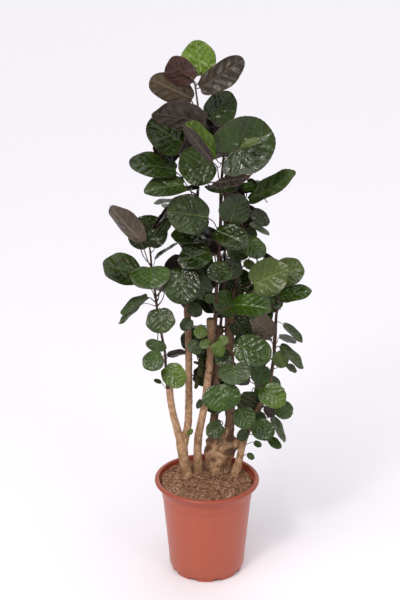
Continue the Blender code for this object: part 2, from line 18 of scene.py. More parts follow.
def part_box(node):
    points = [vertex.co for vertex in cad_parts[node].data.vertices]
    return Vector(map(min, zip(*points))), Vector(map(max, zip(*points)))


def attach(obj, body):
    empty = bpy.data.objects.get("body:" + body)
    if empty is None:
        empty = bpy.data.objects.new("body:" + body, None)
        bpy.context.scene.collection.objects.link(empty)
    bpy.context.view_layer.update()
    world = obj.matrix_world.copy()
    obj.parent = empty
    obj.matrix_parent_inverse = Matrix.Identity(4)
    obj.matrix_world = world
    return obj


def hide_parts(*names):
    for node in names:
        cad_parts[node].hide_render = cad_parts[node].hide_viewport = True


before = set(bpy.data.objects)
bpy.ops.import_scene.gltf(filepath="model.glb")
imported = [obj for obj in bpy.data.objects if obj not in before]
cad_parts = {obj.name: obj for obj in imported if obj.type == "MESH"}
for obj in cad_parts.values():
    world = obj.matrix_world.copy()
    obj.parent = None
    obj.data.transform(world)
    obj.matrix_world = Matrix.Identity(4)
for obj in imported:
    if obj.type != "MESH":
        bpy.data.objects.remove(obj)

bl_info = {
    "name": "Potted Aralia",
    "version": (1, 0, 0),
    "blender": (4, 5, 0),
    "location": "View3D > Sidebar > Aralia",
    "description": "Builds the pot, soil, stems and leaves of a potted aralia round its packed model",
    "category": "Object",
}

CM = 0.01
EYE = Vector((-1.6, -270.0, 165.2))  # the camera's place; the tables give places as they line up from here
PITCH = 20.15  # degrees that the camera looks down
LEAF_SPREAD = 1.3  # every leaf stands this many times further forward or back than its row says
POT_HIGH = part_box("pot")[1]
SOIL_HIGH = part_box("soil")[1]

# ---------------------------------------------------------------- wood: runs of (x, z, y, radius)
STEM_RUNS = {
    "left": (
        (
            (-4.2, 22.3, 1.5, 1.1), (-4.7, 24.5, 1.6, 1.15), (-5.3, 27.5, 1.4, 1.2),
            (-5.7, 30.5, 1.1, 1.3), (-6.2, 32.8, 0.7, 1.0), (-6.9, 35.5, 0.2, 0.85),
            (-7.7, 39.0, -0.3, 0.8), (-8.3, 43.0, -0.5, 0.8), (-8.5, 46.8, -0.5, 0.85),
        ),
        (
            (-5.5, 30.0, 1.2, 1.0), (-4.9, 33.0, 1.4, 0.95), (-4.3, 36.5, 1.5, 0.88),
            (-4.1, 43.0, 1.5, 0.82), (-4.1, 51.0, 1.3, 0.78), (-4.2, 58.0, 1.1, 0.75),
            (-4.4, 64.8, 0.9, 0.78),
        ),
        (
            (-8.7, 45.6, -0.6, 0.36), (-9.2, 49.5, -0.9, 0.34), (-9.3, 53.0, -1.2, 0.33),
            (-9.9, 57.0, -1.2, 0.32), (-10.8, 62.5, -0.9, 0.31), (-11.4, 68.0, -0.6, 0.3),
            (-12.0, 73.0, -0.3, 0.28), (-12.3, 77.0, 0.2, 0.24), (-12.6, 79.5, 0.6, 0.2),
        ),
        (
            (-4.3, 63.6, 0.9, 0.45), (-4.0, 68.5, 1.0, 0.42), (-3.5, 74.0, 1.4, 0.4),
            (-2.9, 80.0, 1.7, 0.38), (-2.3, 86.0, 1.9, 0.36), (-2.0, 92.0, 1.9, 0.34),
            (-1.7, 98.0, 1.7, 0.32), (-1.6, 104.0, 1.3, 0.28), (-2.1, 109.5, 0.8, 0.24),
            (-2.7, 113.8, 0.4, 0.2),
        ),
    ),
    "middle": (
        (
            (-2.0, 23.2, 3.2, 0.98), (-2.05, 26.0, 3.1, 0.98), (-2.15, 30.0, 2.7, 0.95),
            (-1.9, 33.8, 2.2, 0.92), (-1.2, 37.5, 1.7, 0.86), (-0.5, 41.5, 1.3, 0.84),
            (0.0, 46.0, 1.0, 0.84), (0.5, 51.0, 0.8, 0.8), (0.8, 56.0, 0.5, 0.78),
            (0.8, 59.5, 0.4, 0.95), (0.7, 61.8, 0.3, 0.9),
        ),
        (
            (1.2, 56.4, 0.8, 0.46), (1.8, 61.0, 1.3, 0.45), (1.9, 66.0, 1.5, 0.44),
            (2.1, 71.0, 1.5, 0.42), (2.5, 77.0, 1.4, 0.4), (2.8, 84.0, 1.2, 0.38),
            (2.8, 90.0, 1.0, 0.35), (3.1, 95.0, 0.8, 0.32), (3.4, 99.5, 0.6, 0.28),
            (3.0, 103.5, 0.5, 0.23), (2.2, 106.5, 0.4, 0.2),
        ),
    ),
    "burl": (
        (
            (2.7, 24.1, 4.9, 2.5), (2.7, 26.5, 4.8, 2.7), (3.2, 29.5, 4.6, 2.9),
            (4.0, 32.0, 4.6, 2.7), (4.6, 34.5, 4.7, 1.6), (5.1, 38.0, 4.6, 1.2),
            (5.2, 44.0, 4.4, 1.12), (5.0, 51.0, 4.2, 1.08), (4.9, 58.0, 4.0, 1.05),
            (4.8, 65.0, 4.0, 1.05),
        ),
        (
            (0.8, 26.0, 4.9, 1.1), (0.5, 29.0, 4.8, 1.1), (1.2, 33.0, 4.5, 1.05),
            (1.7, 39.0, 3.9, 0.95), (1.9, 45.0, 3.6, 0.9), (2.3, 52.0, 3.6, 0.85),
            (2.8, 60.0, 3.6, 0.82),
        ),
        (
            (2.8, 58.8, 3.6, 0.36), (3.4, 66.0, 3.7, 0.34), (3.7, 74.0, 3.6, 0.33),
            (3.7, 82.0, 3.2, 0.32), (3.7, 89.0, 2.8, 0.3), (4.2, 95.0, 2.4, 0.26),
            (4.6, 99.0, 2.2, 0.2),
        ),
        (
            (4.6, 28.5, 4.2, 1.3), (5.8, 30.8, 3.9, 1.25), (7.4, 32.6, 4.0, 0.8),
            (9.2, 34.8, 4.4, 0.6),
        ),
        (
            (5.0, 63.6, 4.0, 0.42), (6.0, 69.0, 4.6, 0.38), (6.9, 75.0, 5.2, 0.35),
            (7.3, 81.0, 5.4, 0.32), (7.4, 85.5, 5.2, 0.27), (7.4, 88.6, 5.0, 0.2),
        ),
    ),
    "right": (
        (
            (6.2, 22.7, 2.3, 0.95), (6.8, 25.0, 2.3, 0.98), (7.4, 27.4, 2.3, 0.85),
            (8.0, 30.5, 2.3, 0.8), (9.0, 34.0, 2.1, 0.74), (10.7, 38.0, 1.9, 0.68),
            (12.4, 41.8, 1.7, 0.62), (13.8, 46.0, 1.4, 0.5), (14.6, 51.0, 1.1, 0.4),
            (15.0, 57.0, 0.8, 0.37), (15.1, 62.0, 0.6, 0.34), (15.6, 66.5, 0.4, 0.28),
            (16.3, 69.3, 0.3, 0.2),
        ),
    ),
}

# ---------------------------------------------------------------- leaves
# stem, run and up say where the stalk starts. base and tip are (x, z, y), and width is the blade's. look is
# the way the upper face looks: degrees round from the front towards the right, and degrees above level. lobe
# is how deep the cleft at the stalk is, cup how many degrees the blade curls across, arch how it bows along.
Leaf = namedtuple("Leaf", "stem run up base tip width look lobe cup arch kind")
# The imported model's leaves, leaf_01 onwards. The last ten stand behind the plant.
LARGE_LEAVES = (
    ("left", 3, 112.5, (-1.3, 115.2, 2.4), (-2.4, 122.3, 3.4), 7.6, (-8, 20), 0.1, 30, -0.04, "crown"),
    ("left", 3, 113.2, (-2.9, 114.4, -0.6), (-8.3, 118.0, -2.2), 6.0, (190, -10), 0.1, 35, 0.06, "fresh"),
    ("left", 3, 112.6, (-1.5, 112.6, -3.6), (7.3, 118.6, -5.2), 6.4, (170, -38), 0.15, 25, 0.0, "bronze"),
    ("left", 3, 107.0, (-3.3, 110.4, 0.2), (-11.9, 114.4, -1.8), 6.4, (190, 12), 0.1, 25, 0.05, "olive"),
    ("left", 3, 105.5, (-0.9, 105.4, -4.6), (-11.3, 107.2, -6.4), 7.6, (185, 28), 0.15, 20, 0.05, "bronze"),
    ("left", 3, 98.5, (-4.7, 100.8, -1.0), (-12.3, 105.6, -1.8), 8.6, (0, 20), 0.15, 20, -0.03, "mature"),
    ("middle", 1, 104.5, (0.9, 105.7, -0.8), (4.9, 111.6, -1.4), 6.8, (2, 22), 0.12, 25, -0.03, "mature"),
    ("middle", 1, 95.5, (4.6, 98.8, -4.6), (13.6, 103.6, -4.0), 12.4, (3, 19), 0.58, 34, -0.03, "glossy"),
    ("middle", 1, 97.0, (1.7, 98.3, -5.6), (-4.6, 105.3, -7.6), 5.6, (60, 33), 0.08, 50, 0.03, "fresh"),
    ("middle", 1, 93.0, (1.2, 97.0, -2.0), (-6.0, 95.4, -3.2), 8.8, (-5, 22), 0.2, 18, -0.03, "glossy"),
    ("left", 3, 89.5, (-6.7, 95.3, -0.6), (-16.4, 96.7, -2.0), 7.6, (-5, 58), 0.15, 22, 0.02, "mature"),
    ("left", 3, 86.5, (-4.9, 92.2, -2.6), (-13.2, 90.4, -4.2), 7.0, (-5, 62), 0.15, 22, 0.04, "grey"),
    ("middle", 1, 82.0, (0.1, 84.9, -4.2), (-8.7, 86.3, -6.0), 8.6, (-5, 26), 0.15, 16, 0.02, "mature"),
    ("left", 2, 74.5, (-14.2, 79.5, -3.0), (-20.5, 87.2, -4.4), 6.0, (150, -5), 0.1, 40, 0.0, "olive"),
    ("left", 2, 75.5, (-12.5, 78.3, 2.6), (-13.2, 85.4, 4.2), 9.0, (-5, 20), 0.25, 22, -0.03, "mature"),
    ("left", 2, 70.0, (-14.8, 72.3, -2.2), (-22.6, 74.0, -3.6), 7.4, (-8, 42), 0.15, 18, 0.02, "mature"),
    ("left", 2, 68.0, (-12.4, 73.6, -4.0), (-12.4, 68.6, -7.6), 8.8, (-3, 40), 0.25, 16, 0.03, "mid"),
    ("left", 3, 70.0, (-5.5, 73.2, -4.6), (-5.4, 65.1, -7.4), 8.0, (-5, 22), 0.2, 16, 0.02, "glossy"),
    ("left", 2, 58.5, (-10.5, 64.0, -4.4), (-10.0, 58.3, -6.2), 6.4, (-2, 28), 0.15, 10, 0.03, "grey"),
    ("left", 2, 54.0, (-9.9, 52.8, -4.4), (-14.2, 50.4, -5.4), 4.6, (-8, 30), 0.12, 14, 0.03, "mid"),
    ("left", 2, 49.0, (-9.2, 50.2, -3.2), (-5.4, 45.8, -4.8), 5.4, (5, 30), 0.15, 12, 0.04, "fresh"),
    ("middle", 1, 73.5, (0.5, 77.3, -3.2), (-6.2, 74.6, -5.2), 6.0, (-5, 40), 0.15, 16, 0.02, "mature"),
    ("left", 3, 76.5, (-0.8, 81.0, -1.2), (-7.6, 80.4, -3.2), 6.4, (0, 66), 0.15, 14, 0.02, "mature"),
    ("middle", 1, 69.0, (4.6, 73.6, -5.0), (0.4, 71.2, -7.0), 5.2, (0, 44), 0.2, 16, 0.02, "glossy"),
    ("burl", 2, 80.0, (4.9, 83.8, -2.6), (6.8, 90.1, -2.2), 6.8, (10, 10), 0.2, 20, 0.0, "mature"),
    ("burl", 4, 85.0, (8.9, 88.9, -1.0), (18.3, 94.7, -3.2), 6.4, (10, 62), 0.12, 26, -0.04, "grey"),
    ("burl", 2, 87.0, (4.6, 90.6, 5.0), (12.6, 91.9, 5.0), 6.6, (0, 82), 0.12, 16, 0.0, "mature"),
    ("middle", 1, 91.0, (1.3, 92.4, -7.4), (8.8, 93.7, -9.4), 4.2, (175, -72), 0.12, 16, 0.0, "mature"),
    ("middle", 1, 79.0, (1.8, 81.9, -3.8), (8.8, 78.6, -6.4), 6.0, (5, 48), 0.15, 14, 0.03, "mature"),
    ("burl", 4, 75.5, (8.3, 79.6, -0.6), (11.9, 76.0, -2.6), 5.2, (15, 40), 0.12, 14, 0.03, "mid"),
    ("burl", 4, 67.0, (9.8, 69.7, -5.0), (17.4, 73.3, -6.0), 8.2, (5, 28), 0.15, 14, 0.02, "olive"),
    ("right", 0, 67.8, (15.0, 71.6, -0.8), (20.7, 73.9, -0.6), 6.4, (10, 28), 0.15, 16, 0.02, "olive"),
    ("right", 0, 65.5, (15.9, 67.0, -2.4), (22.7, 68.0, -3.8), 5.0, (10, 60), 0.12, 16, 0.03, "mid"),
    ("middle", 1, 62.5, (6.0, 65.0, -6.6), (14.0, 63.9, -8.6), 6.8, (5, 60), 0.3, 12, 0.04, "mid"),
    ("right", 0, 57.0, (14.4, 57.8, -1.5), (10.3, 61.7, -2.2), 5.4, (200, -5), 0.12, 18, 0.02, "grey"),
    ("burl", 1, 52.0, (6.3, 55.7, -3.6), (14.2, 52.4, -4.8), 6.9, (5, 26), 0.15, 10, 0.02, "mid"),
    ("middle", 0, 49.0, (5.8, 50.8, -6.8), (6.4, 46.0, -9.4), 7.4, (5, 42), 0.3, 12, 0.03, "grey"),
    ("right", 0, 42.5, (12.2, 45.1, -2.6), (17.4, 41.2, -4.4), 5.8, (10, 28), 0.15, 12, 0.03, "fresh"),
    ("right", 0, 40.5, (15.6, 41.0, -0.8), (19.0, 38.3, -1.8), 4.4, (15, 30), 0.12, 14, 0.03, "mid"),
    ("right", 0, 35.5, (10.6, 36.4, -2.2), (14.9, 33.0, -3.6), 5.0, (5, 32), 0.15, 12, 0.03, "mid"),
    ("middle", 0, 42.5, (2.8, 46.0, -7.8), (3.8, 39.4, -9.8), 8.4, (0, 28), 0.12, 10, 0.03, "mid"),
    ("burl", 0, 38.0, (7.2, 40.2, -5.4), (9.6, 35.3, -7.0), 5.2, (5, 28), 0.12, 12, 0.03, "mid"),
    ("right", 0, 54.5, (16.2, 55.4, -0.8), (21.3, 49.9, -2.0), 4.2, (60, 40), 0.12, 26, 0.0, "grey"),
    ("left", 2, 59.5, (-11.0, 56.7, -1.7), (-11.6, 54.0, -2.3), 4.8, (-5, 46), 0.15, 12, 0.02, "mid"),
    ("left", 3, 96.0, (-2.8, 99.0, 6.0), (-6.4, 104.0, 9.5), 8.0, (195, 35), 0.2, 15, 0.03, "mature"),
    ("middle", 1, 94.0, (4.2, 97.0, 5.6), (8.4, 101.0, 9.6), 8.4, (165, 35), 0.2, 15, 0.03, "mature"),
    ("left", 3, 82.0, (-4.6, 86.0, 6.4), (-7.6, 88.0, 13.0), 8.0, (200, 45), 0.2, 15, 0.03, "mature"),
    ("burl", 4, 80.0, (8.2, 83.0, 9.6), (9.4, 85.5, 16.0), 8.0, (165, 45), 0.2, 15, 0.03, "mature"),
    ("burl", 2, 71.0, (2.4, 76.0, 8.0), (0.4, 76.5, 15.5), 8.4, (182, 45), 0.2, 15, 0.03, "mature"),
    ("left", 2, 66.0, (-12.6, 69.5, 3.4), (-16.4, 71.0, 9.4), 7.4, (212, 45), 0.2, 15, 0.03, "mature"),
    ("burl", 1, 55.0, (-0.4, 60.0, 8.0), (-3.6, 59.0, 14.2), 7.6, (195, 45), 0.2, 15, 0.03, "mature"),
    ("burl", 0, 58.0, (8.2, 62.0, 8.6), (10.4, 62.0, 15.4), 7.8, (165, 45), 0.2, 15, 0.03, "mature"),
    ("burl", 0, 46.0, (5.2, 50.0, 9.6), (3.6, 47.0, 15.2), 7.4, (185, 45), 0.2, 15, 0.03, "mature"),
    ("right", 0, 44.0, (13.4, 46.0, 6.0), (15.0, 44.0, 11.6), 6.4, (155, 45), 0.2, 15, 0.03, "mature"),
)

# Smaller leaves that the frame leaves out: the same columns.
SMALL_LEAVES = (
    ("middle", 1, 96.6, (0.8, 97.5, -8.6), (-5.0, 104.7, -9.0), 2.6, (186, 8), 0.08, 35, 0.0, "bronze"),
    ("middle", 1, 95.5, (7.0, 100.5, -7.4), (10.9, 101.9, -8.0), 2.1, (5, 50), 0.1, 25, 0.0, "olive"),
    ("left", 3, 112.0, (-2.7, 113.8, 0.2), (-7.5, 116.6, -1.0), 4.0, (0, 92), 0.1, 20, 0.0, "fresh"),
    ("left", 3, 90.0, (-1.9, 91.6, -0.4), (-9.0, 89.5, -1.6), 6.0, (0, 98), 0.15, 15, 0.02, "mature"),
    ("left", 3, 85.0, (-6.6, 88.6, 0.4), (-11.4, 88.0, -0.4), 3.6, (0, 92), 0.1, 15, 0.02, "grey"),
    ("middle", 1, 88.0, (3.2, 91.8, -0.6), (2.8, 90.2, -4.6), 7.2, (0, 84), 0.2, 15, 0.02, "mature"),
    ("burl", 4, 86.0, (7.6, 91.4, 1.4), (11.2, 92.2, 1.0), 3.2, (10, 62), 0.12, 15, 0.02, "mid"),
    ("burl", 4, 84.0, (9.6, 86.4, 2.4), (12.9, 83.2, 2.2), 3.4, (20, 20), 0.12, 15, 0.02, "mature"),
    ("burl", 4, 80.0, (9.0, 83.6, 1.4), (13.3, 81.0, 0.6), 3.2, (25, 84), 0.1, 20, 0.0, "grey"),
    ("burl", 4, 79.0, (7.8, 81.6, 1.6), (10.6, 80.7, 1.2), 3.2, (10, 30), 0.12, 15, 0.02, "mature"),
    ("middle", 1, 76.0, (4.6, 78.4, 0.8), (8.8, 76.2, 0.2), 4.4, (5, 20), 0.15, 15, 0.02, "mature"),
    ("burl", 2, 72.0, (6.2, 75.4, 1.4), (4.2, 71.0, 1.0), 4.6, (5, 15), 0.15, 15, 0.02, "mature"),
    ("burl", 4, 71.0, (7.9, 74.9, -0.4), (10.3, 73.5, -0.9), 2.2, (10, 35), 0.1, 15, 0.02, "olive"),
    ("burl", 4, 66.0, (11.2, 67.8, 0.2), (16.1, 64.0, -0.6), 3.8, (40, 88), 0.1, 20, 0.0, "grey"),
    ("right", 0, 61.0, (16.8, 60.5, -0.4), (21.0, 56.3, -1.2), 3.6, (62, 45), 0.1, 20, 0.0, "grey"),
    ("right", 0, 56.0, (15.8, 57.6, 0.6), (19.6, 56.1, 0.2), 3.8, (10, 88), 0.12, 15, 0.02, "mature"),
    ("right", 0, 54.0, (14.4, 56.6, 1.4), (9.4, 58.8, 1.0), 4.2, (0, 88), 0.12, 15, 0.02, "mature"),
    ("right", 0, 51.0, (15.4, 53.9, -1.6), (17.2, 50.2, -2.2), 3.8, (10, 25), 0.15, 12, 0.02, "olive"),
    ("right", 0, 49.0, (17.6, 50.8, -0.2), (19.9, 49.0, -0.6), 2.2, (50, 45), 0.1, 15, 0.02, "grey"),
    ("burl", 1, 51.0, (5.2, 53.2, -1.2), (2.0, 51.0, -1.8), 4.6, (0, 28), 0.15, 15, 0.02, "mature"),
    ("right", 0, 46.5, (12.4, 50.5, -1.6), (11.4, 46.0, -2.6), 4.7, (5, 22), 0.15, 12, 0.02, "mid"),
    ("middle", 0, 56.0, (1.7, 56.1, -2.2), (3.3, 52.9, -3.0), 3.2, (5, 22), 0.15, 12, 0.03, "fresh"),
    ("middle", 0, 57.0, (2.4, 56.9, -1.4), (4.7, 56.3, -2.0), 2.5, (5, 28), 0.12, 12, 0.03, "fresh"),
    ("middle", 0, 55.4, (0.6, 56.4, -1.6), (-1.6, 55.1, -2.2), 2.3, (-10, 32), 0.12, 12, 0.03, "fresh"),
    ("middle", 0, 59.0, (-0.1, 59.2, -1.4), (-2.9, 57.9, -2.0), 2.9, (-5, 22), 0.12, 12, 0.03, "fresh"),
    ("middle", 1, 65.0, (1.3, 67.3, -1.0), (-0.3, 65.7, -1.5), 2.3, (0, 25), 0.12, 12, 0.03, "mid"),
    ("left", 2, 76.6, (-10.9, 80.6, 0.8), (-8.0, 85.0, 1.2), 3.4, (62, 20), 0.1, 25, 0.0, "grey"),
    ("left", 3, 75.5, (-1.4, 80.6, 0.4), (-4.4, 76.6, -0.4), 6.0, (0, 28), 0.2, 15, 0.02, "mature"),
    ("left", 2, 73.6, (-11.4, 75.7, 0.8), (-6.4, 79.1, 0.6), 4.0, (0, 92), 0.1, 20, 0.0, "bronze"),
    ("left", 3, 71.0, (-2.2, 71.8, -0.2), (-0.5, 66.4, -0.7), 5.0, (5, 20), 0.15, 15, 0.02, "mature"),
    ("left", 2, 66.0, (-13.0, 67.0, -1.4), (-18.8, 63.0, -2.2), 4.6, (-62, 58), 0.1, 22, 0.0, "grey"),
    ("left", 2, 64.5, (-14.4, 65.4, -0.6), (-19.4, 60.5, -1.0), 3.8, (-78, 42), 0.1, 22, 0.0, "grey"),
    ("left", 2, 51.0, (-8.8, 52.9, 1.0), (-4.3, 54.0, 0.8), 3.8, (180, 45), 0.1, 18, 0.0, "bronze"),
    ("left", 0, 45.8, (-10.2, 46.5, -1.0), (-11.9, 47.1, -1.2), 1.1, (0, 50), 0.1, 12, 0.0, "mid"),
    ("left", 1, 60.0, (-3.4, 61.4, -1.2), (-5.8, 59.3, -1.8), 2.9, (0, 25), 0.12, 12, 0.03, "mature"),
    ("left", 1, 55.0, (-3.9, 56.2, -1.0), (-1.3, 53.7, -1.6), 3.1, (5, 25), 0.12, 12, 0.03, "grey"),
    ("left", 1, 64.0, (-3.9, 64.9, -1.0), (-1.4, 62.6, -1.6), 3.2, (5, 25), 0.12, 12, 0.03, "mature"),
    ("middle", 0, 48.0, (-1.8, 49.2, 0.4), (-2.5, 45.0, 0.0), 3.2, (66, 12), 0.12, 15, 0.0, "mature"),
    ("middle", 0, 50.0, (-0.8, 50.8, -0.6), (-3.0, 51.3, -1.0), 2.4, (0, 92), 0.1, 15, 0.0, "grey"),
    ("middle", 0, 52.0, (-1.1, 53.2, 0.4), (-1.3, 48.0, 0.0), 3.8, (58, 10), 0.12, 15, 0.0, "mature"),
    ("burl", 1, 36.0, (3.4, 36.0, -0.6), (0.0, 33.6, -1.4), 4.2, (-5, 22), 0.15, 12, 0.03, "grey"),
    ("right", 0, 37.0, (14.6, 38.0, 0.2), (17.8, 31.8, -0.2), 3.6, (64, 22), 0.1, 18, 0.0, "grey"),
    ("right", 0, 33.4, (14.0, 32.6, 0.2), (16.8, 30.3, -0.1), 2.5, (35, 28), 0.12, 14, 0.0, "mid"),
    ("right", 0, 32.0, (9.0, 34.8, 0.4), (7.2, 32.2, 0.0), 2.6, (0, 22), 0.12, 12, 0.03, "mature"),
    ("right", 0, 37.6, (11.4, 39.2, 0.2), (12.5, 36.4, -0.2), 2.7, (5, 22), 0.12, 12, 0.03, "mature"),
    ("right", 0, 39.6, (13.3, 40.7, -0.2), (14.9, 38.0, -0.5), 2.7, (180, 20), 0.12, 12, 0.03, "bronze"),
    ("middle", 0, 42.0, (-1.4, 42.3, 0.0), (-2.2, 40.1, -0.4), 1.4, (20, 25), 0.1, 12, 0.0, "mature"),
    ("left", 1, 32.6, (-4.4, 33.6, -0.2), (-3.3, 34.9, -0.7), 1.2, (5, 25), 0.1, 12, 0.0, "fresh"),
    ("right", 0, 27.6, (9.2, 28.7, 1.2), (10.8, 27.5, 1.0), 1.5, (5, 30), 0.12, 12, 0.0, "mid"),
    ("right", 0, 30.4, (10.7, 31.7, 1.2), (12.4, 30.7, 1.0), 1.5, (5, 30), 0.12, 12, 0.0, "mid"),
)

# How each kind of leaf differs: quilting height in leaf lengths, and which finishes its two faces take.
KINDS = {
    "glossy": (0.034, "deep", "bronze"),
    "crown": (0.040, "crown", "maroon"),
    "mature": (0.022, "deep", "bronze"),
    "mid": (0.024, "green", "bronze"),
    "fresh": (0.020, "fresh", "maroon"),
    # The olive kind's underside and both grey faces are paler: partly their own tone, partly painted sheen.
    "olive": (0.020, "olive", "sheen_pale_brown"),
    "grey": (0.026, "sheen_grey_green", "sheen_pale_brown"),
    "bronze": (0.024, "deep", "bronze"),
}


def linear(hex_colour):
    """An sRGB hex colour as the linear RGBA that Blender's sockets take."""
    parts = [int(hex_colour[i : i + 2], 16) / 255 for i in (1, 3, 5)]
    return (*(p / 12.92 if p <= 0.04045 else ((p + 0.055) / 1.055) ** 2.4 for p in parts), 1.0)


def opaque(colour):
    """A colour from the settings as the RGBA that a socket takes."""
    return (*colour, 1.0)


def add_node(tree, kind, settings=(), inputs=()):
    """Adds a node with its settings and inputs.

    Inputs are in order, or keyed by name or number. A number or colour is set, and a socket is linked, as is
    the first live output of a node."""
    made = tree.nodes.new(f"ShaderNode{kind}")
    for name, value in dict(settings).items():
        setattr(made, name, value)
    for key, value in inputs.items() if isinstance(inputs, dict) else enumerate(inputs):
        if isinstance(value, bpy.types.Node):
            value = next(output for output in value.outputs if output.enabled)
        if isinstance(value, bpy.types.NodeSocket):
            tree.links.new(value, made.inputs[key])
        else:
            made.inputs[key].default_value = value
    return made


def new_material(name):
    """An empty node material and its tree, or None in place of the tree if it's there already."""
    found = bpy.data.materials.get(name)
    if found:
        return found, None
    made = bpy.data.materials.new(name)
    made.use_nodes = True
    made.node_tree.nodes.clear()
    return made, made.node_tree


def finish_material(tree, colour, roughness, relief=None, more=()):
    """Ends a material with its shader. relief is a bump's height, strength and depth in metres."""
    sockets = {"Base Color": colour, "Roughness": roughness, **dict(more)}
    if relief:
        height, strength, depth = relief
        bump = {"Strength": strength, "Distance": depth, "Height": height}
        sockets["Normal"] = add_node(tree, "Bump", {}, bump)
    shader = add_node(tree, "BsdfPrincipled", {}, sockets)
    add_node(tree, "OutputMaterial", {}, {"Surface": shader})


# Settings that many nodes share.
SMOOTH = {"interpolation_type": "SMOOTHSTEP"}
COLOURS = {"data_type": "RGBA"}
TIMES = {"operation": "MULTIPLY"}
TIMES_PLUS = {"operation": "MULTIPLY_ADD"}
MINUS = {"operation": "SUBTRACT"}
OVER = {"operation": "DIVIDE"}
ABOVE = {"operation": "GREATER_THAN"}


# ---------------------------------------------------------------- making and shaping meshes
def deselect():
    for found in bpy.context.selected_objects:
        found.select_set(False)


def activate(piece):
    deselect()
    piece.select_set(True)
    bpy.context.view_layer.objects.active = piece


def apply_modifier(piece, kind, **settings):
    """Adds a modifier to a piece and applies it."""
    activate(piece)
    modifier = piece.modifiers.new(kind.lower(), kind)
    for name, value in settings.items():
        setattr(modifier, name, value)
    bpy.ops.object.modifier_apply(modifier=modifier.name)


def copy_of(blank, name):
    """A copy of a blank with its own mesh."""
    made = bpy.data.objects.new(name, blank.data.copy())
    made.data.name = name
    bpy.context.scene.collection.objects.link(made)
    return made


def joined(name, pieces):
    """Joins pieces into the first one and names it."""
    deselect()
    for piece in pieces:
        piece.select_set(True)
    bpy.context.view_layer.objects.active = pieces[0]
    if len(pieces) > 1:
        bpy.ops.object.join()
    made = bpy.context.view_layer.objects.active
    made.name = made.data.name = name
    return made


def named(name):
    """The primitive just added, with its name."""
    piece = bpy.context.object
    piece.name = piece.data.name = name
    return piece


def give(piece, *materials):
    """Gives a piece its materials in place of any that it has."""
    piece.data.materials.clear()
    for material in materials:
        piece.data.materials.append(material)


def edit_all():
    """Opens the active piece for editing, selected all over."""
    bpy.ops.object.mode_set(mode="EDIT")
    bpy.ops.mesh.select_all(action="SELECT")


def face_outwards():
    """Turns every face of the piece being edited outwards and ends the editing."""
    bpy.ops.mesh.select_all(action="SELECT")
    bpy.ops.mesh.normals_make_consistent(inside=False)
    bpy.ops.object.mode_set(mode="OBJECT")


def points_of(mesh):
    found = np.empty(len(mesh.vertices) * 3, np.float32)
    mesh.vertices.foreach_get("co", found)
    return found.reshape(-1, 3).astype(float)


def move_points(mesh, points):
    mesh.vertices.foreach_set("co", np.asarray(points, np.float32).ravel())
    mesh.update()


def store(mesh, name, values):
    """Keeps three numbers for each point of a mesh, for its material to read."""
    layer = mesh.attributes.new(name, "FLOAT_VECTOR", "POINT")
    layer.data.foreach_set("vector", np.asarray(values, np.float32).ravel())


def finish_piece(piece, slot, *nodes):
    """A finished piece rides with the plant and stands for its nodes. Its slot is not used."""
    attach(piece, "root")
    if nodes:
        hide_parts(*nodes)


def ring_sheet(name, sides, shares):
    """A flat round sheet of rings, from the rim inwards, with its middle closed."""
    deselect()
    bpy.ops.mesh.primitive_circle_add(vertices=sides, radius=1.0, fill_type="NOTHING")
    sheet = named(name)
    edit_all()
    for outer, inner in zip(shares, shares[1:]):
        scale = inner / outer
        bpy.ops.mesh.extrude_region_move()
        bpy.ops.transform.resize(value=(scale, scale, 1.0), center_override=(0.0, 0.0, 0.0))
    bpy.ops.mesh.edge_face_add()
    bpy.ops.mesh.poke()
    face_outwards()
    if sum(face.normal.z for face in sheet.data.polygons) < 0:
        sheet.data.flip_normals()
    return sheet


def tube_blank(name, sides, cuts):
    """A closed round rod from 0 to 1 along Z, cut into rings."""
    deselect()
    bpy.ops.mesh.primitive_cylinder_add(
        vertices=sides, radius=1.0, depth=1.0, end_fill_type="TRIFAN", location=(0.0, 0.0, 0.5)
    )
    rod = named(name)
    bpy.ops.object.transform_apply(location=True, rotation=False, scale=False)
    bpy.ops.object.mode_set(mode="EDIT")
    bpy.ops.mesh.select_all(action="DESELECT")
    shape = bmesh.from_edit_mesh(rod.data)
    for edge in shape.edges:
        low, high = sorted(corner.co.z for corner in edge.verts)
        edge.select_set(high - low > 0.5)
    bmesh.update_edit_mesh(rod.data)
    bpy.ops.mesh.subdivide(number_cuts=cuts)
    bpy.ops.object.mode_set(mode="OBJECT")
    return rod


def turned(name, outline, sides, hollow=False):
    """A solid turned round Z from an outline of (radius, height), from its bottom's middle outwards.

    Its two ends are filled, or joined to each other for a hollow ring."""
    deselect()
    (radius, height), *rest = outline
    bpy.ops.mesh.primitive_circle_add(
        vertices=sides, radius=radius, fill_type="NOTHING", location=(0.0, 0.0, height)
    )
    piece = named(name)
    bpy.ops.object.transform_apply(location=True, rotation=False, scale=False)
    edit_all()
    for next_radius, next_height in rest:
        scale, rise = next_radius / radius, next_height - height
        bpy.ops.mesh.extrude_region_move(TRANSFORM_OT_translate={"value": (0.0, 0.0, rise)})
        bpy.ops.transform.resize(value=(scale, scale, 1.0), center_override=(0.0, 0.0, next_height))
        radius, height = next_radius, next_height
    if not hollow:
        bpy.ops.mesh.edge_face_add()
        bpy.ops.mesh.poke()
        bpy.ops.mesh.select_all(action="DESELECT")
    shape = bmesh.from_edit_mesh(piece.data)
    shape.verts.ensure_lookup_table()
    for corner in shape.verts[:sides]:
        corner.select_set(True)
    shape.select_flush(True)
    bmesh.update_edit_mesh(piece.data)
    if hollow:
        bpy.ops.mesh.bridge_edge_loops()
    else:
        bpy.ops.mesh.edge_face_add()
        bpy.ops.mesh.poke()
    face_outwards()
    return piece


# ---------------------------------------------------------------- wood
def seen(x, z, y):
    """The real place, in metres, of a point seen at (x, z) on the upright plane and standing y behind it."""
    on_plane = Vector((x, 0.0, z))
    return (EYE + (on_plane - EYE) * (1.0 + y / -EYE.y)) * CM


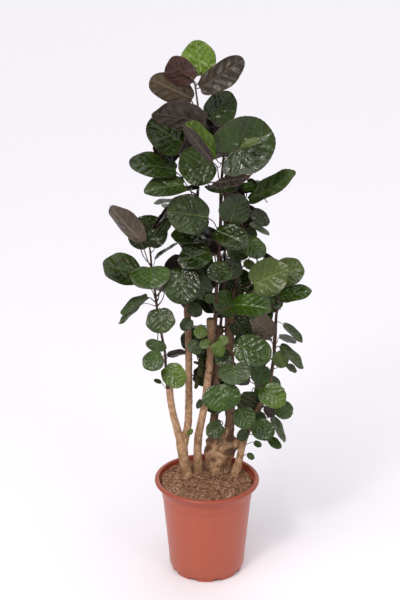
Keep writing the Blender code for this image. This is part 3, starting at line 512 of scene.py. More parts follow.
def smooth_run(points, step):
    """(place, radius) points on a Catmull-Rom curve through the given ones, about a step apart."""
    found = []
    for i in range(len(points) - 1):
        before, start, end, after = (points[min(max(i + k, 0), len(points) - 1)] for k in (-1, 0, 1, 2))
        count = max(1, round((end[0] - start[0]).length / step))
        for k in range(count):
            t = k / count
            weights = (
                -0.5 * t + t * t - 0.5 * t**3,
                1.0 - 2.5 * t * t + 1.5 * t**3,
                0.5 * t + 2.0 * t * t - 1.5 * t**3,
                -0.5 * t * t + 0.5 * t**3,
            )
            place = sum((w * p[0] for w, p in zip(weights, (before, start, end, after))), Vector())
            found.append((place, start[1] + (end[1] - start[1]) * t))
    found.append(points[-1])
    return found


def run_path(name, number, step=0.004):
    """One run of a stem as closely spaced (place, radius) points."""
    points = [(seen(x, z, y), radius * CM) for x, z, y, radius in STEM_RUNS[name][number]]
    if number == 0:
        foot = points[0]
        # The foot goes on a little way into the soil and flares.
        points.insert(0, (Vector((foot[0].x, foot[0].y, SOIL_HIGH.z - 0.02)), foot[1] * 1.12))
    return smooth_run(points, step)


def lay_along(piece, path):
    """Bends a rod from tube_blank along a path and gives each ring its radius."""
    places = [place for place, _ in path]
    radii = np.array([radius for _, radius in path])
    frames = []
    side = Vector((1.0, 0.0, 0.0))
    for i in range(len(places)):
        ahead = (places[min(i + 1, len(places) - 1)] - places[max(i - 1, 0)]).normalized()
        side = (side - ahead * side.dot(ahead)).normalized()
        frames.append((side.copy(), ahead.cross(side)))
    centre = np.array([tuple(place) for place in places])
    across = np.array([tuple(first) for first, _ in frames])
    over = np.array([tuple(second) for _, second in frames])
    flat = points_of(piece.data)
    at = np.clip(flat[:, 2], 0.0, 1.0) * (len(path) - 1)
    low = np.minimum(at.astype(int), len(path) - 2)
    part = (at - low)[:, None]

    def between(values):
        values = values if values.ndim > 1 else values[:, None]
        return values[low] * (1 - part) + values[low + 1] * part

    radius = between(radii)
    move_points(
        piece.data,
        between(centre) + radius * (flat[:, :1] * between(across) + flat[:, 1:2] * between(over)),
    )


# ---------------------------------------------------------------- leaves
# How side veins leave the midrib, for a blade's shape and its colours alike. Lengths are in leaf lengths.
VEINS = 5.0  # side veins in a leaf's length
VEIN_SLOPE = 0.62  # how far along a side vein gets for each length out
VEIN_CURVE = 0.55  # how much it bends on towards the tip
FAN_START = 1.016  # radians from the midrib at which veins fan out of the stalk's end instead
FAN_STEP = 0.42  # radians from one vein of the fan to the next


def blade_edge(turn, lobe):
    """How far the blade's edge is from its middle, as a share: cleft at the stalk, drawn out at the tip."""
    from_base = pi - np.abs(turn)
    notch = lobe * np.exp(-((from_base / 0.30) ** 2))
    return (1.0 - notch) * (1.0 + 0.03 * np.exp(-((turn / 0.35) ** 2)))


def vein_phase(along, across):
    """Whole numbers are side veins. along and across are in leaf lengths from where the stalk joins."""
    side = np.abs(across)
    rise = along - VEIN_SLOPE * side - VEIN_CURVE * side**2
    fan = (FAN_START - np.arctan2(side, along)) / FAN_STEP
    return np.where(rise > 0.0, rise * VEINS, fan)


def leaf_frame(base, tip, look):
    """The matrix that carries a blade's own axes (along, across, up from the upper face) to their place."""
    along = (tip - base).normalized()
    round_, above = (radians(angle) for angle in look)
    face = Vector((sin(round_) * cos(above), -cos(round_) * cos(above), sin(above)))
    up = (face - along * face.dot(along)).normalized()
    turn = Matrix((along, up.cross(along), up)).transposed()
    return Matrix.Translation(base) @ turn.to_4x4()


Growth = namedtuple("Growth", "name base tip width look lobe cup arch kind start outward")


def growth_of(name, leaf):
    """A table row as real places in metres, with where its stalk leaves the wood."""
    base, tip = (seen(x, z, y * LEAF_SPREAD) for x, z, y in (leaf.base, leaf.tip))
    start, outward = leave_wood(leaf.stem, leaf.run, seen(0.0, leaf.up, 0.0).z, base)
    blade = (leaf.width * CM, leaf.look, leaf.lobe, leaf.cup, leaf.arch, leaf.kind)
    return Growth(name, base, tip, *blade, start, outward)


def leave_wood(stem, run, height, towards):
    """Where a stalk leaves a run of wood at a height, on the side that faces a place, and which way."""
    path = run_path(stem, run, 0.01)
    index = min(range(len(path)), key=lambda i: abs(path[i][0].z - height))
    on_stem, radius = path[index]
    wood = (path[min(index + 1, len(path) - 1)][0] - path[max(index - 1, 0)][0]).normalized()
    outward = towards - on_stem
    outward = (outward - wood * outward.dot(wood)).normalized()
    return on_stem + outward * radius * 0.7, outward


def shape_blade(piece, growth, quilt, chance):
    """Gives a flat round sheet the outline, quilting and bend of one leaf, and puts it in its place."""
    flat = points_of(piece.data)
    share = np.hypot(flat[:, 0], flat[:, 1])
    turn = np.arctan2(flat[:, 1], flat[:, 0])
    length = (growth.tip - growth.base).length
    half = growth.width / 2
    reach = length / (2.0 - growth.lobe)
    middle = length - reach
    # The outline strays from an oval by a hundredth or two, and is toothed every few millimetres.
    uneven = sum(
        chance.uniform(0.005, 0.02) * np.sin(k * turn + chance.uniform(0, 2 * pi)) for k in (2, 3, 5, 7)
    )
    teeth = 2 * round(length * 250)
    edge = blade_edge(turn, growth.lobe) * (1.0 + uneven)
    edge = edge * (1.0 - 0.012 * np.clip((share - 0.9) / 0.1, 0, 1) * (0.5 + 0.5 * np.cos(teeth * turn)))
    x = middle + reach * share * edge * np.cos(turn)
    y = half * share * edge * np.sin(turn)
    along, across = x / length, y / length
    # No leaf is regular: its side veins wander, so its blisters differ in size.
    seed = chance.uniform(0, 10)
    wander = np.array([noise.noise(Vector((u * 3.2, v * 3.2, seed + 7))) for u, v in zip(along, across)])
    off_midrib = np.clip(np.abs(across) / 0.1, 0, 1)
    along, across = along + 0.13 * wander * off_midrib, across * (1.0 + 0.25 * wander)
    # The flesh puffs up in panels between the side veins, cut across by lesser veins, and is flat at the rim
    # and by the midrib. The two halves' veins leave the midrib in turn, half a panel apart.
    phase = vein_phase(along, across) + 0.5 * (across > 0)
    panel = np.abs(np.sin(pi * phase)) ** 0.7
    cross = 0.8 + 0.2 * np.sin(2 * pi * (np.abs(across) * 8.0 + 1.7 * np.floor(phase) + seed))
    calm = np.clip((1.0 - share) / 0.16, 0, 1) * np.clip(np.abs(across) / 0.05, 0, 1)
    rough = np.array([noise.noise(Vector((u * 5 + seed, v * 5, seed))) for u, v in zip(along, across)])
    crumple = np.array([noise.noise(Vector((u * 12, v * 12, seed + 4))) for u, v in zip(along, across)])
    puff = quilt * length * calm * (0.95 * panel * cross + 0.9 * rough + 0.35 * crumple)
    # The midrib is a groove.
    puff -= 0.006 * length * np.exp(-((across / 0.014) ** 2)) * (share < 0.95)
    # The edge waves up and down.
    ripple = length * share**3 * (
        chance.uniform(0.006, 0.02) * np.sin(2 * turn + chance.uniform(0, 6))
        + chance.uniform(0.008, 0.022) * np.sin(5 * turn + chance.uniform(0, 6))
    )
    # The blade curls across by its cup, as part of a cylinder, and bows along by its arch.
    bend = radians(growth.cup)
    tilt = bend * y / half
    height = half * (1.0 - np.cos(tilt)) / bend + 4.0 * growth.arch * length * along * (1.0 - along) + ripple
    placed = np.stack((x, half * np.sin(tilt) / bend - puff * np.sin(tilt), height + puff * np.cos(tilt)), 1)
    carry = np.array(leaf_frame(growth.base, growth.tip, growth.look))
    move_points(piece.data, placed @ carry[:3, :3].T + carry[:3, 3])
    store(piece.data, "blade", np.stack((along, across, share), 1))


STALK_RINGS = 12  # rings along a stalk


def shape_stalk(piece, growth):
    """Bends a rod in a smooth sweep from the wood to the underside of the blade, thicker at both ends."""
    reach = (growth.base - growth.start).length
    ahead = (growth.tip - growth.base).normalized()
    under = leaf_frame(growth.base, growth.tip, growth.look).to_3x3() @ Vector((0.0, 0.0, -1.0))
    end = growth.base + ahead * min(0.012, 0.12 * (growth.tip - growth.base).length) + under * 0.0012
    rise = Vector((0.0, 0.0, 1.0)) * 0.12 * reach
    arms = (
        growth.start,
        growth.start + growth.outward * 0.38 * reach + rise,
        growth.base - ahead * 0.34 * reach + under * 0.1 * reach,
        end,
    )
    thin = 0.0011 if growth.width > 0.04 else 0.0007
    path = []
    for i in range(STALK_RINGS + 1):
        t = i / STALK_RINGS
        weights = ((1 - t) ** 3, 3 * t * (1 - t) ** 2, 3 * t * t * (1 - t), t**3)
        place = sum((w * arm for w, arm in zip(weights, arms)), Vector())
        swell = 1.0 + 0.9 * (1 - t) ** 6 + 0.35 * t**6
        path.append((place, thin * swell))
    lay_along(piece, path)
    store(piece.data, "blade", np.zeros((len(piece.data.vertices), 3)))


UNDER_SLOT, STALK_SLOT = 1, 2  # where a leaf's materials stand in its list, after the upper face's


def leaf_finishes(kind):
    """The upper, under and stalk materials of a kind of leaf."""
    _, upper, under = KINDS[kind]
    return upper_face(upper), under_face(under), stalk_skin("young" if kind == "fresh" else "old")


def make_leaf(blanks, growth, thickness, chance):
    """One leaf: a quilted blade of two faces, and its stalk, as one piece."""
    sheet, rod = blanks
    blade = copy_of(sheet, growth.name)
    give(blade, *leaf_finishes(growth.kind))
    shape_blade(blade, growth, KINDS[growth.kind][0], chance)
    underside = {"material_offset": UNDER_SLOT, "material_offset_rim": UNDER_SLOT}
    apply_modifier(blade, "SOLIDIFY", thickness=thickness, offset=-1.0, use_rim=True, **underside)
    stalk = copy_of(rod, f"{growth.name}_stalk")
    give(stalk, *leaf_finishes(growth.kind))
    stalk.data.polygons.foreach_set("material_index", np.full(len(stalk.data.polygons), STALK_SLOT, np.int32))
    shape_stalk(stalk, growth)
    leaf = joined(growth.name, [blade, stalk])
    leaf.data.shade_smooth()
    return leaf


def remove_blanks(*blanks):
    """Clears away pieces that others were copied from or cut by."""
    for blank in blanks:
        mesh = blank.data
        bpy.data.objects.remove(blank)
        bpy.data.meshes.remove(mesh)


# ---------------------------------------------------------------- leaf finishes
# A thick waxy leaf: (deep, light, vein) colours and roughness of the upper face.
UPPER = {
    "deep": ("#141f04", "#2a3b0d", "#4b5c20", 0.16),
    "green": ("#1f3305", "#354d10", "#5a722b", 0.18),
    "fresh": ("#354909", "#506816", "#7d9542", 0.2),
    "crown": ("#47600f", "#68832c", "#9fb06c", 0.17),
    "olive": ("#2d3b0e", "#46551e", "#707d40", 0.26),
    # Greyer green: partly the leaf's own tone, partly painted sheen of glare off the pale room.
    "sheen_grey_green": ("#202e0f", "#394920", "#637342", 0.2),
}
# A duller lower face with raised veins: (deep, light, vein) colours and roughness.
UNDER = {
    "maroon": ("#2b1513", "#472822", "#5c3c33", 0.34),
    "bronze": ("#1a130e", "#33281f", "#4e4234", 0.34),
    # Paler brown: partly the underside's own tone, partly painted sheen.
    "sheen_pale_brown": ("#382e21", "#554837", "#786a54", 0.36),
}
# (deep, light) colours of the stalk.
STALK = {"old": ("#2a1c14", "#4b3624"), "young": ("#3a4420", "#5f6a34")}


def vein_nodes(tree):
    """A blade's own coordinates, how far out a place is, and how near to a vein, as vein_phase has it."""
    blade = add_node(tree, "Attribute", {"attribute_name": "blade"}).outputs["Vector"]
    along, across, share = add_node(tree, "SeparateXYZ", {}, (blade,)).outputs
    side = add_node(tree, "Math", {"operation": "ABSOLUTE"}, (across,))
    bent = add_node(tree, "Math", TIMES_PLUS, (side, VEIN_CURVE, VEIN_SLOPE))
    gone = add_node(tree, "Math", TIMES, (side, bent))
    rise = add_node(tree, "Math", MINUS, (along, gone))
    turn = add_node(tree, "Math", {"operation": "ARCTAN2"}, (side, along))
    fanned = add_node(tree, "Math", MINUS, (FAN_START, turn))
    fan = add_node(tree, "Math", OVER, (fanned, FAN_STEP))
    ahead = add_node(tree, "Math", ABOVE, (rise, 0.0))
    counted = add_node(tree, "Math", TIMES, (rise, VEINS))
    phase = add_node(tree, "Mix", {"data_type": "FLOAT"}, {0: ahead, 2: fan, 3: counted})
    far_half = add_node(tree, "Math", ABOVE, (across, 0.0))
    phase = add_node(tree, "Math", TIMES_PLUS, (far_half, 0.5, phase))
    from_vein = add_node(tree, "Math", {"operation": "PINGPONG"}, (phase, 0.5))
    side_vein = add_node(tree, "MapRange", SMOOTH, (from_vein, 0.09, 0.02, 0.0, 0.5))
    # The midrib is 2.4 hundredths of the leaf's length wide at the stalk, and half that at the tip.
    width = add_node(tree, "Math", TIMES_PLUS, (along, -0.012, 0.024))
    from_midrib = add_node(tree, "Math", OVER, (side, width))
    midrib = add_node(tree, "MapRange", SMOOTH, (from_midrib, 1.0, 0.35, 0.0, 1.0))
    return blade, share, add_node(tree, "Math", {"operation": "MAXIMUM"}, (side_vein, midrib))


def leaf_face(name, colours, roughness, vein_bump, rim_colour):
    """The skin of one face of a leaf: mottled flesh between lighter veins, with a fine net of veinlets."""
    made, tree = new_material(name)
    if tree is None:
        return made
    deep, light, vein = (linear(colour) for colour in colours)
    blade, share, veins = vein_nodes(tree)
    where = add_node(tree, "TexCoord").outputs["Object"]
    # One leaf differs from the next in tone: patches about 60 mm across, and flecks of about 4 mm.
    patches, flecks = (
        add_node(tree, "TexNoise", {}, {"Vector": where, "Scale": scale, "Detail": 3.0, "Roughness": 0.6})
        for scale in (16.0, 260.0)
    )
    mottle = add_node(tree, "Math", TIMES_PLUS, (flecks, 0.45, patches))
    tone = add_node(tree, "MapRange", SMOOTH, (mottle, 0.52, 0.95, 0.0, 1.0))
    flesh = add_node(tree, "Mix", COLOURS, {0: tone, 6: deep, 7: light})
    veined_by = add_node(tree, "Math", TIMES, (veins, 0.6))
    veined = add_node(tree, "Mix", COLOURS, {0: veined_by, 6: flesh, 7: vein})
    # The last few millimetres before the edge are darker and redder.
    rim = add_node(tree, "MapRange", SMOOTH, (share, 0.955, 1.0, 0.0, 0.8))
    colour = add_node(tree, "Mix", COLOURS, {0: rim, 6: veined, 7: linear(rim_colour)})
    # Veinlets: a net twelve cells long, so a cell is about 7 mm wide in an 80 mm leaf.
    net = add_node(
        tree,
        "TexVoronoi",
        {"feature": "DISTANCE_TO_EDGE", "voronoi_dimensions": "2D"},
        {"Vector": blade, "Scale": 12.0, "Randomness": 0.9},
    )
    cells = add_node(tree, "MapRange", {}, (net, 0.0, 0.4, 0.0, 1.0))
    height = add_node(tree, "Math", TIMES_PLUS, (veins, vein_bump, cells))
    # Dust and handling dull the wax in patches.
    gloss = add_node(tree, "MapRange", {}, (patches, 0.35, 0.68, roughness - 0.05, roughness + 0.17))
    wax = {"IOR": 1.45, "Specular IOR Level": 0.42, "Coat Weight": 0.1, "Coat Roughness": 0.2}
    finish_material(tree, colour, gloss, (height, 0.35, 0.0006), wax)
    return made


def upper_face(finish):
    """The waxy upper skin: a clear cuticle over green flesh, so it shines and its blisters catch light."""
    *colours, roughness = UPPER[finish]
    return leaf_face(f"leaf_cuticle_{finish}", colours, roughness, -1.2, "#2b1d1a")


def under_face(finish):
    """The lower skin: less wax, so it is duller; purple-brown or grey, with the veins standing proud."""
    *colours, roughness = UNDER[finish]
    return leaf_face(f"leaf_underside_{finish}", colours, roughness, 1.6, "#4a2f2b")


def stalk_skin(finish):
    """A leaf stalk's skin: slightly waxy, so it has a soft gloss, with darker specks of about 3 mm."""
    made, tree = new_material(f"leaf_stalk_{finish}")
    if tree is None:
        return made
    deep, light = (linear(colour) for colour in STALK[finish])
    where = add_node(tree, "TexCoord").outputs["Object"]
    specks = add_node(tree, "TexNoise", {}, {"Vector": where, "Scale": 300.0, "Detail": 2.0})
    colour = add_node(tree, "Mix", COLOURS, {0: specks, 6: deep, 7: light})
    finish_material(tree, colour, 0.45, (specks, 0.4, 0.0003))
    return made


# ---------------------------------------------------------------- other finishes
def bark_skin(settings):
    """Aralia bark, dry and corky, so hardly glossy: tan and cracked low down, darker on young shoots, with
    painted shade in its hollows.
    """
    made, tree = new_material("aralia_bark")
    if tree is None:
        return made
    where = add_node(tree, "TexCoord").outputs["Object"]
    kept = add_node(tree, "Attribute", {"attribute_name": "bark"}).outputs["Vector"]
    young, hollow, _ = add_node(tree, "SeparateXYZ", {}, (kept,)).outputs
    # Cracks run up the stem: noise squeezed to about 2.4 mm across and 11 mm up.
    grain = add_node(tree, "Mapping", {}, {"Vector": where, "Scale": (1.0, 1.0, 0.22)})
    rough = {"Detail": 4.0, "Roughness": 0.6}
    cracks = add_node(tree, "TexNoise", {}, {"Vector": grain, "Scale": 420.0, **rough})
    # Blotches of about 14 mm.
    rough["Detail"] = 3.0
    blotches = add_node(tree, "TexNoise", {}, {"Vector": where, "Scale": 70.0, **rough})
    # Lenticels: raised pale dots about 3 mm apart.
    dots = add_node(tree, "TexVoronoi", {"feature": "F1"}, {"Vector": where, "Scale": 330.0})
    dot = add_node(tree, "MapRange", SMOOTH, (dots, 0.34, 0.16, 0.0, 0.5))
    old_tone = add_node(tree, "MapRange", SMOOTH, (blotches, 0.36, 0.64))
    old = add_node(tree, "Mix", COLOURS, {0: old_tone, 6: opaque(settings.tan), 7: opaque(settings.brown)})
    crack = add_node(tree, "MapRange", SMOOTH, (cracks, 0.5, 0.34, 0.0, 0.75))
    cracked = add_node(tree, "Mix", COLOURS, {0: crack, 6: old, 7: opaque(settings.crack)})
    shoot_colours = {6: opaque(settings.shoot_dark), 7: opaque(settings.shoot_light)}
    shoot = add_node(tree, "Mix", COLOURS, {0: blotches, **shoot_colours})
    aged = add_node(tree, "Mix", COLOURS, {0: young, 6: cracked, 7: shoot})
    dotted = add_node(tree, "Mix", COLOURS, {0: dot, 6: aged, 7: linear("#b79a7c")})
    # Painted shade: the dips between the burl's lumps and the knots' hollows take the cracks' colour.
    shaded = add_node(tree, "Mix", COLOURS, {0: hollow, 6: dotted, 7: opaque(settings.crack)})
    lumps = add_node(tree, "Math", TIMES_PLUS, (dot, 0.6, cracks))
    finish_material(tree, shaded, 0.82, (lumps, 0.8, 0.0009), {"Specular IOR Level": 0.3})
    return made


def pot_plastic(settings):
    """Injection-moulded polypropylene, dyed terracotta: satin, faintly streaked, scuffed at the foot."""
    made, tree = new_material("moulded_polypropylene")
    if tree is None:
        return made
    where = add_node(tree, "TexCoord").outputs["Object"]
    height = add_node(tree, "SeparateXYZ", {}, (where,)).outputs["Z"]
    # Streaks of dye about 40 mm across and 250 mm up, and specks of about 5 mm where it has worn.
    flow = add_node(tree, "Mapping", {}, {"Vector": where, "Scale": (1.0, 1.0, 0.15)})
    streaks, specks = (
        add_node(tree, "TexNoise", {}, {"Vector": at, "Scale": scale, "Detail": detail, "Roughness": rough})
        for at, scale, detail, rough in ((flow, 26.0, 3.0, 0.5), (where, 190.0, 4.0, 0.7))
    )
    shade = add_node(tree, "MapRange", {}, (streaks, 0.3, 0.7, 0.0, 0.5))
    body = add_node(tree, "Mix", COLOURS, {0: shade, 6: opaque(settings.colour), 7: opaque(settings.shade)})
    low = add_node(tree, "MapRange", {}, (height, 0.05, 0.0, 0.0, 0.6))
    worn = add_node(tree, "MapRange", SMOOTH, (specks, 0.56, 0.7, 0.0, 1.0))
    scuffs = add_node(tree, "Math", TIMES, (worn, low))
    scuffed = add_node(tree, "Mix", COLOURS, {0: scuffs, 6: body, 7: opaque(settings.scuff)})
    # The band at the lip is coloured deeper: painted shade under the rolled lip.
    lip = add_node(tree, "MapRange", {}, (height, POT_HIGH.z - 0.014, POT_HIGH.z - 0.009, 0.0, 0.75))
    lip_shaded = add_node(tree, "Mix", COLOURS, {0: lip, 6: scuffed, 7: opaque(settings.lip)})
    # The mould leaves a texture finer than a render shows; it is drawn about 1.5 mm coarse.
    grain = add_node(tree, "TexNoise", {}, {"Vector": where, "Scale": 650.0, "Detail": 2.0})
    gloss = add_node(tree, "MapRange", {}, (specks, 0.3, 0.7, 0.28, 0.42))
    finish_material(tree, lip_shaded, gloss, (grain, 0.25, 0.0003), {"IOR": 1.49})
    return made


def soil_skin(settings):
    """Moist potting soil, milled from peat and fine bark: matt crumbs, dark in the gaps."""
    made, tree = new_material("potting_soil")
    if tree is None:
        return made
    where = add_node(tree, "TexCoord").outputs["Object"]
    # Crumbs of about 3 mm over clods of about 12 mm.
    crumbs = add_node(tree, "TexVoronoi", {"feature": "F1"}, {"Vector": where, "Scale": 330.0}).outputs
    clods = add_node(tree, "TexNoise", {}, {"Vector": where, "Scale": 85.0, "Detail": 5.0, "Roughness": 0.7})
    tone = add_node(tree, "SeparateColor", {}, (crumbs["Color"],))
    mixed = add_node(tree, "Mix", COLOURS, {0: tone, 6: opaque(settings.dark), 7: opaque(settings.brown)})
    lit = add_node(tree, "MapRange", SMOOTH, (clods, 0.35, 0.65, 0.0, 0.7))
    colour = add_node(tree, "Mix", COLOURS, {0: lit, 6: mixed, 7: opaque(settings.tan)})
    height = add_node(tree, "Math", TIMES_PLUS, (crumbs["Distance"], -0.8, clods))
    finish_material(tree, colour, 0.92, (height, 1.0, 0.003), {"Specular IOR Level": 0.25})
    return made


def litter_skin(settings, name):
    """Dry chipped bark and wood on the soil, matt: each bit keeps one tone, from dark bark to pale wood."""
    made, tree = new_material(name)
    if tree is None:
        return made
    where = add_node(tree, "TexCoord").outputs["Object"]
    kept = add_node(tree, "Attribute", {"attribute_name": "bit"}).outputs["Vector"]
    tone = add_node(tree, "SeparateXYZ", {}, (kept,))
    # Grain of about 2 mm.
    grain = add_node(tree, "TexNoise", {}, {"Vector": where, "Scale": 500.0, "Detail": 3.0})
    blend = add_node(tree, "Math", TIMES_PLUS, (grain, 0.4, tone))
    dark = add_node(tree, "MapRange", {}, (blend, 0.2, 0.75))
    pale = add_node(tree, "MapRange", {}, (blend, 0.8, 1.4))
    low = add_node(tree, "Mix", COLOURS, {0: dark, 6: opaque(settings.dark), 7: opaque(settings.brown)})
    colour = add_node(tree, "Mix", COLOURS, {0: pale, 6: low, 7: opaque(settings.chip)})
    finish_material(tree, colour, 0.85, (grain, 0.6, 0.0005), {"Specular IOR Level": 0.3})
    return made


# ---------------------------------------------------------------- settings
def colour_setting(name, description, hex_colour):
    """A colour that a user can pick."""
    return bpy.props.FloatVectorProperty(
        name=name,
        description=description,
        default=linear(hex_colour)[:3],
        subtype="COLOR",
        size=3,
        min=0.0,
        max=1.0,
    )


class PotSettings(bpy.types.PropertyGroup):
    rim_radius: bpy.props.FloatProperty(
        name="Rim radius", description="Outside radius of the rolled lip", default=POT_HIGH.x, unit="LENGTH"
    )
    height: bpy.props.FloatProperty(
        name="Height", description="From the floor to the top of the lip", default=POT_HIGH.z, unit="LENGTH"
    )
    colour: colour_setting("Plastic", "Main colour of the plastic", "#ab523a")
    shade: colour_setting("Streaks", "Colour of the faint streaks in the plastic", "#a34a33")
    # Painted shade: the lip's deeper colour stands for the shade under its roll.
    lip: colour_setting("Lip", "Colour of the thicker plastic at the lip", "#8f3f2b")
    scuff: colour_setting("Scuffs", "Colour of the scuffs near the foot", "#bd8069")


class SoilSettings(bpy.types.PropertyGroup):
    chips: bpy.props.IntProperty(name="Bark chips", description="How many lie on the soil", default=900)
    fibres: bpy.props.IntProperty(name="Wood fibres", description="How many lie on the soil", default=320)
    dark: colour_setting("Dark", "Darkest soil and bark", "#492c22")
    brown: colour_setting("Brown", "Middle soil and bark", "#93694f")
    tan: colour_setting("Tan", "Dry soil on top", "#ac866b")
    chip: colour_setting("Pale wood", "Palest chips and fibres", "#cdb096")


class WoodSettings(bpy.types.PropertyGroup):
    voxel: bpy.props.FloatProperty(
        name="Detail", description="Size of the bark's smallest bump", default=0.0016, unit="LENGTH"
    )
    tan: colour_setting("Tan bark", "Dry old bark", "#c39f7f")
    brown: colour_setting("Brown bark", "Blotches on old bark", "#a37d5c")
    # The crack colour also paints shade into the bark's hollows.
    crack: colour_setting("Cracks", "Cracks and hollows", "#5a412c")
    # The shoot colours also paint shade onto the upper bark of the burl and the right stem.
    shoot_dark: colour_setting("Shoot, dark", "Darkest skin of the young shoots", "#20120d")
    shoot_light: colour_setting("Shoot, light", "Lightest skin of the young shoots", "#523427")


class LeafSettings(bpy.types.PropertyGroup):
    thickness: bpy.props.FloatProperty(
        name="Thickness", description="Thickness of a leaf's blade", default=0.0008, unit="LENGTH"
    )
    inner: bpy.props.IntProperty(name="Inner leaves", description="Leaves deep in the crown", default=30)
    back: bpy.props.IntProperty(name="Back leaves", description="Leaves on the plant's far side", default=56)
    seed: bpy.props.IntProperty(name="Seed", description="Changes how each leaf differs", default=7)


class StageSettings(bpy.types.PropertyGroup):
    lens: bpy.props.FloatProperty(
        name="Lens", description="Focal length of the camera, in millimetres", default=79.02, unit="CAMERA"
    )
    floor: colour_setting("Floor", "Colour of the floor", "#ebe9f1")


# ---------------------------------------------------------------- pieces
def arc(centre, radius, start, end, count):
    """Points of an arc in an outline, from start to end degrees."""
    turns = [radians(start + i * (end - start) / (count - 1)) for i in range(count)]
    return [(centre[0] + radius * cos(turn), centre[1] + radius * sin(turn)) for turn in turns]


def pot_outline(rim, top):
    """The pot's wall from the middle of its underside, up the outside, over the lip and down the inside."""
    lip = 0.005  # radius of the lip's roll
    neck = rim - 0.0148  # outside radii, from the band under the lip down to the foot
    body = rim - 0.0182
    base = rim - 0.0335
    foot = rim - 0.0385
    wall = 0.0028
    low, shoulder = 0.0155, 0.1835  # heights that the plain wall runs between
    return [
        # The pad in the middle, the arch between it and the foot, and the foot's ring.
        (0.012, 0.0),
        (0.045, 0.0),
        (0.0462, 0.001),
        (0.047, 0.0065),
        (0.048, 0.007),
        (0.0695, 0.007),
        (0.0705, 0.006),
        (0.071, 0.0005),
        (0.0715, 0.0),
        (foot - 0.0008, 0.0),
        (foot, 0.0008),
        # The step over the drain slots, the plain wall, and the band under the lip.
        (foot + 0.0006, 0.0095),
        (foot + 0.0014, 0.0112),
        (base - 0.0012, 0.0125),
        (base - 0.0002, 0.0136),
        (base + 0.0003, low),
        *[(base + (body - base) * t, low + (shoulder - low) * t) for t in (0.2, 0.4, 0.6, 0.8, 1.0)],
        (body + 0.0006, 0.1841),
        (body + 0.0013, 0.1846),
        (neck - 0.0012, 0.2100),
        (neck, top - 0.0165),
        # The lip, rolled over the top and down inside.
        (neck + 0.0006, top - 0.0125),
        (neck + 0.0026, top - 0.0100),
        *arc((rim - lip, top - lip), lip, -80, 90, 12),
        (rim - 0.0085, top),
        (rim - 0.0096, top - 0.0006),
        (rim - 0.0102, top - 0.0022),
        (rim - 0.0108, top - 0.0090),
        (rim - 0.0120, top - 0.0130),
        # The inside of the wall, down to the inner floor.
        (neck - wall + 0.001, top - 0.0200),
        (body - wall, 0.1820),
        (base - wall, 0.0115),
        (base - wall - 0.002, 0.0098),
        (0.012, 0.0098),
    ]


DRAIN_SLOTS = 9
# A dark ring inside the foot, painted shade behind the slots: (radius, height) round its section.
SLOT_SHADE_RING = (
    (0.049, 0.0008), (0.0775, 0.0006), (0.0785, 0.0012), (0.0775, 0.0052), (0.069, 0.0066), (0.049, 0.0067),
)


class ARALIA_OT_pot(bpy.types.Operator):
    """Turn the nursery pot, cut its drain slots and give it its moulded plastic"""

    bl_idname = "aralia.pot"
    bl_label = "Pot"

    def execute(self, context):
        settings = context.scene.aralia_pot
        pot = turned("nursery_pot", pot_outline(settings.rim_radius, settings.height), sides=144)
        # A slot is 20 mm wide with rounded corners, and reaches 6 mm up from the floor.
        deselect()
        bpy.ops.mesh.primitive_cube_add(size=1.0)
        slot = context.object
        slot.data.transform(Matrix.Diagonal((0.020, 0.020, 0.012, 1.0)))
        apply_modifier(slot, "BEVEL", width=0.0025, segments=3)
        slot.data.transform(Matrix.Translation((0.0, 0.0405 - settings.rim_radius, 0.0)))
        cutters = []
        for number in range(DRAIN_SLOTS):
            cutter = copy_of(slot, f"slot_{number}")
            cutter.data.transform(Matrix.Rotation(radians(17.0 + number * 360.0 / DRAIN_SLOTS), 4, "Z"))
            cutters.append(cutter)
        remove_blanks(slot)
        cutter = joined("slots", cutters)
        apply_modifier(pot, "BOOLEAN", operation="DIFFERENCE", object=cutter, solver="EXACT")
        remove_blanks(cutter)
        give(pot, pot_plastic(settings))
        activate(pot)
        bpy.ops.object.shade_smooth_by_angle(angle=radians(32))
        finish_piece(pot, "pot", "pot")
        # Painted shade: a soil-coloured ring behind the drain slots makes them dark inside.
        slot_shade = turned("painted_slot_shade", SLOT_SHADE_RING, sides=96, hollow=True)
        give(slot_shade, soil_skin(context.scene.aralia_soil))
        finish_piece(slot_shade, "soil")
        return {"FINISHED"}


# Where each stem leaves the soil, and its radius there.
FEET = tuple((seen(*runs[0][0][:3]), runs[0][0][3] * CM) for runs in STEM_RUNS.values())


def soil_height(x, y):
    """How high the soil lies at a place: rolling clods, a little heaped round each stem."""
    top = SOIL_HIGH.z + 0.004 - 0.02 * x
    gaps = [max(0.0, hypot(x - foot.x, y - foot.y) - radius) for foot, radius in FEET]
    heap = sum(0.0035 * np.exp(-gap / 0.012) for gap in gaps)
    # Clods about 18 mm across, and lumps of about 6 mm.
    clods = 0.0032 * noise.noise(Vector((x * 55, y * 55, 1.0)))
    clods += 0.0016 * noise.noise(Vector((x * 160, y * 160, 5.0)))
    return min(top + heap + clods, SOIL_HIGH.z + 0.008)


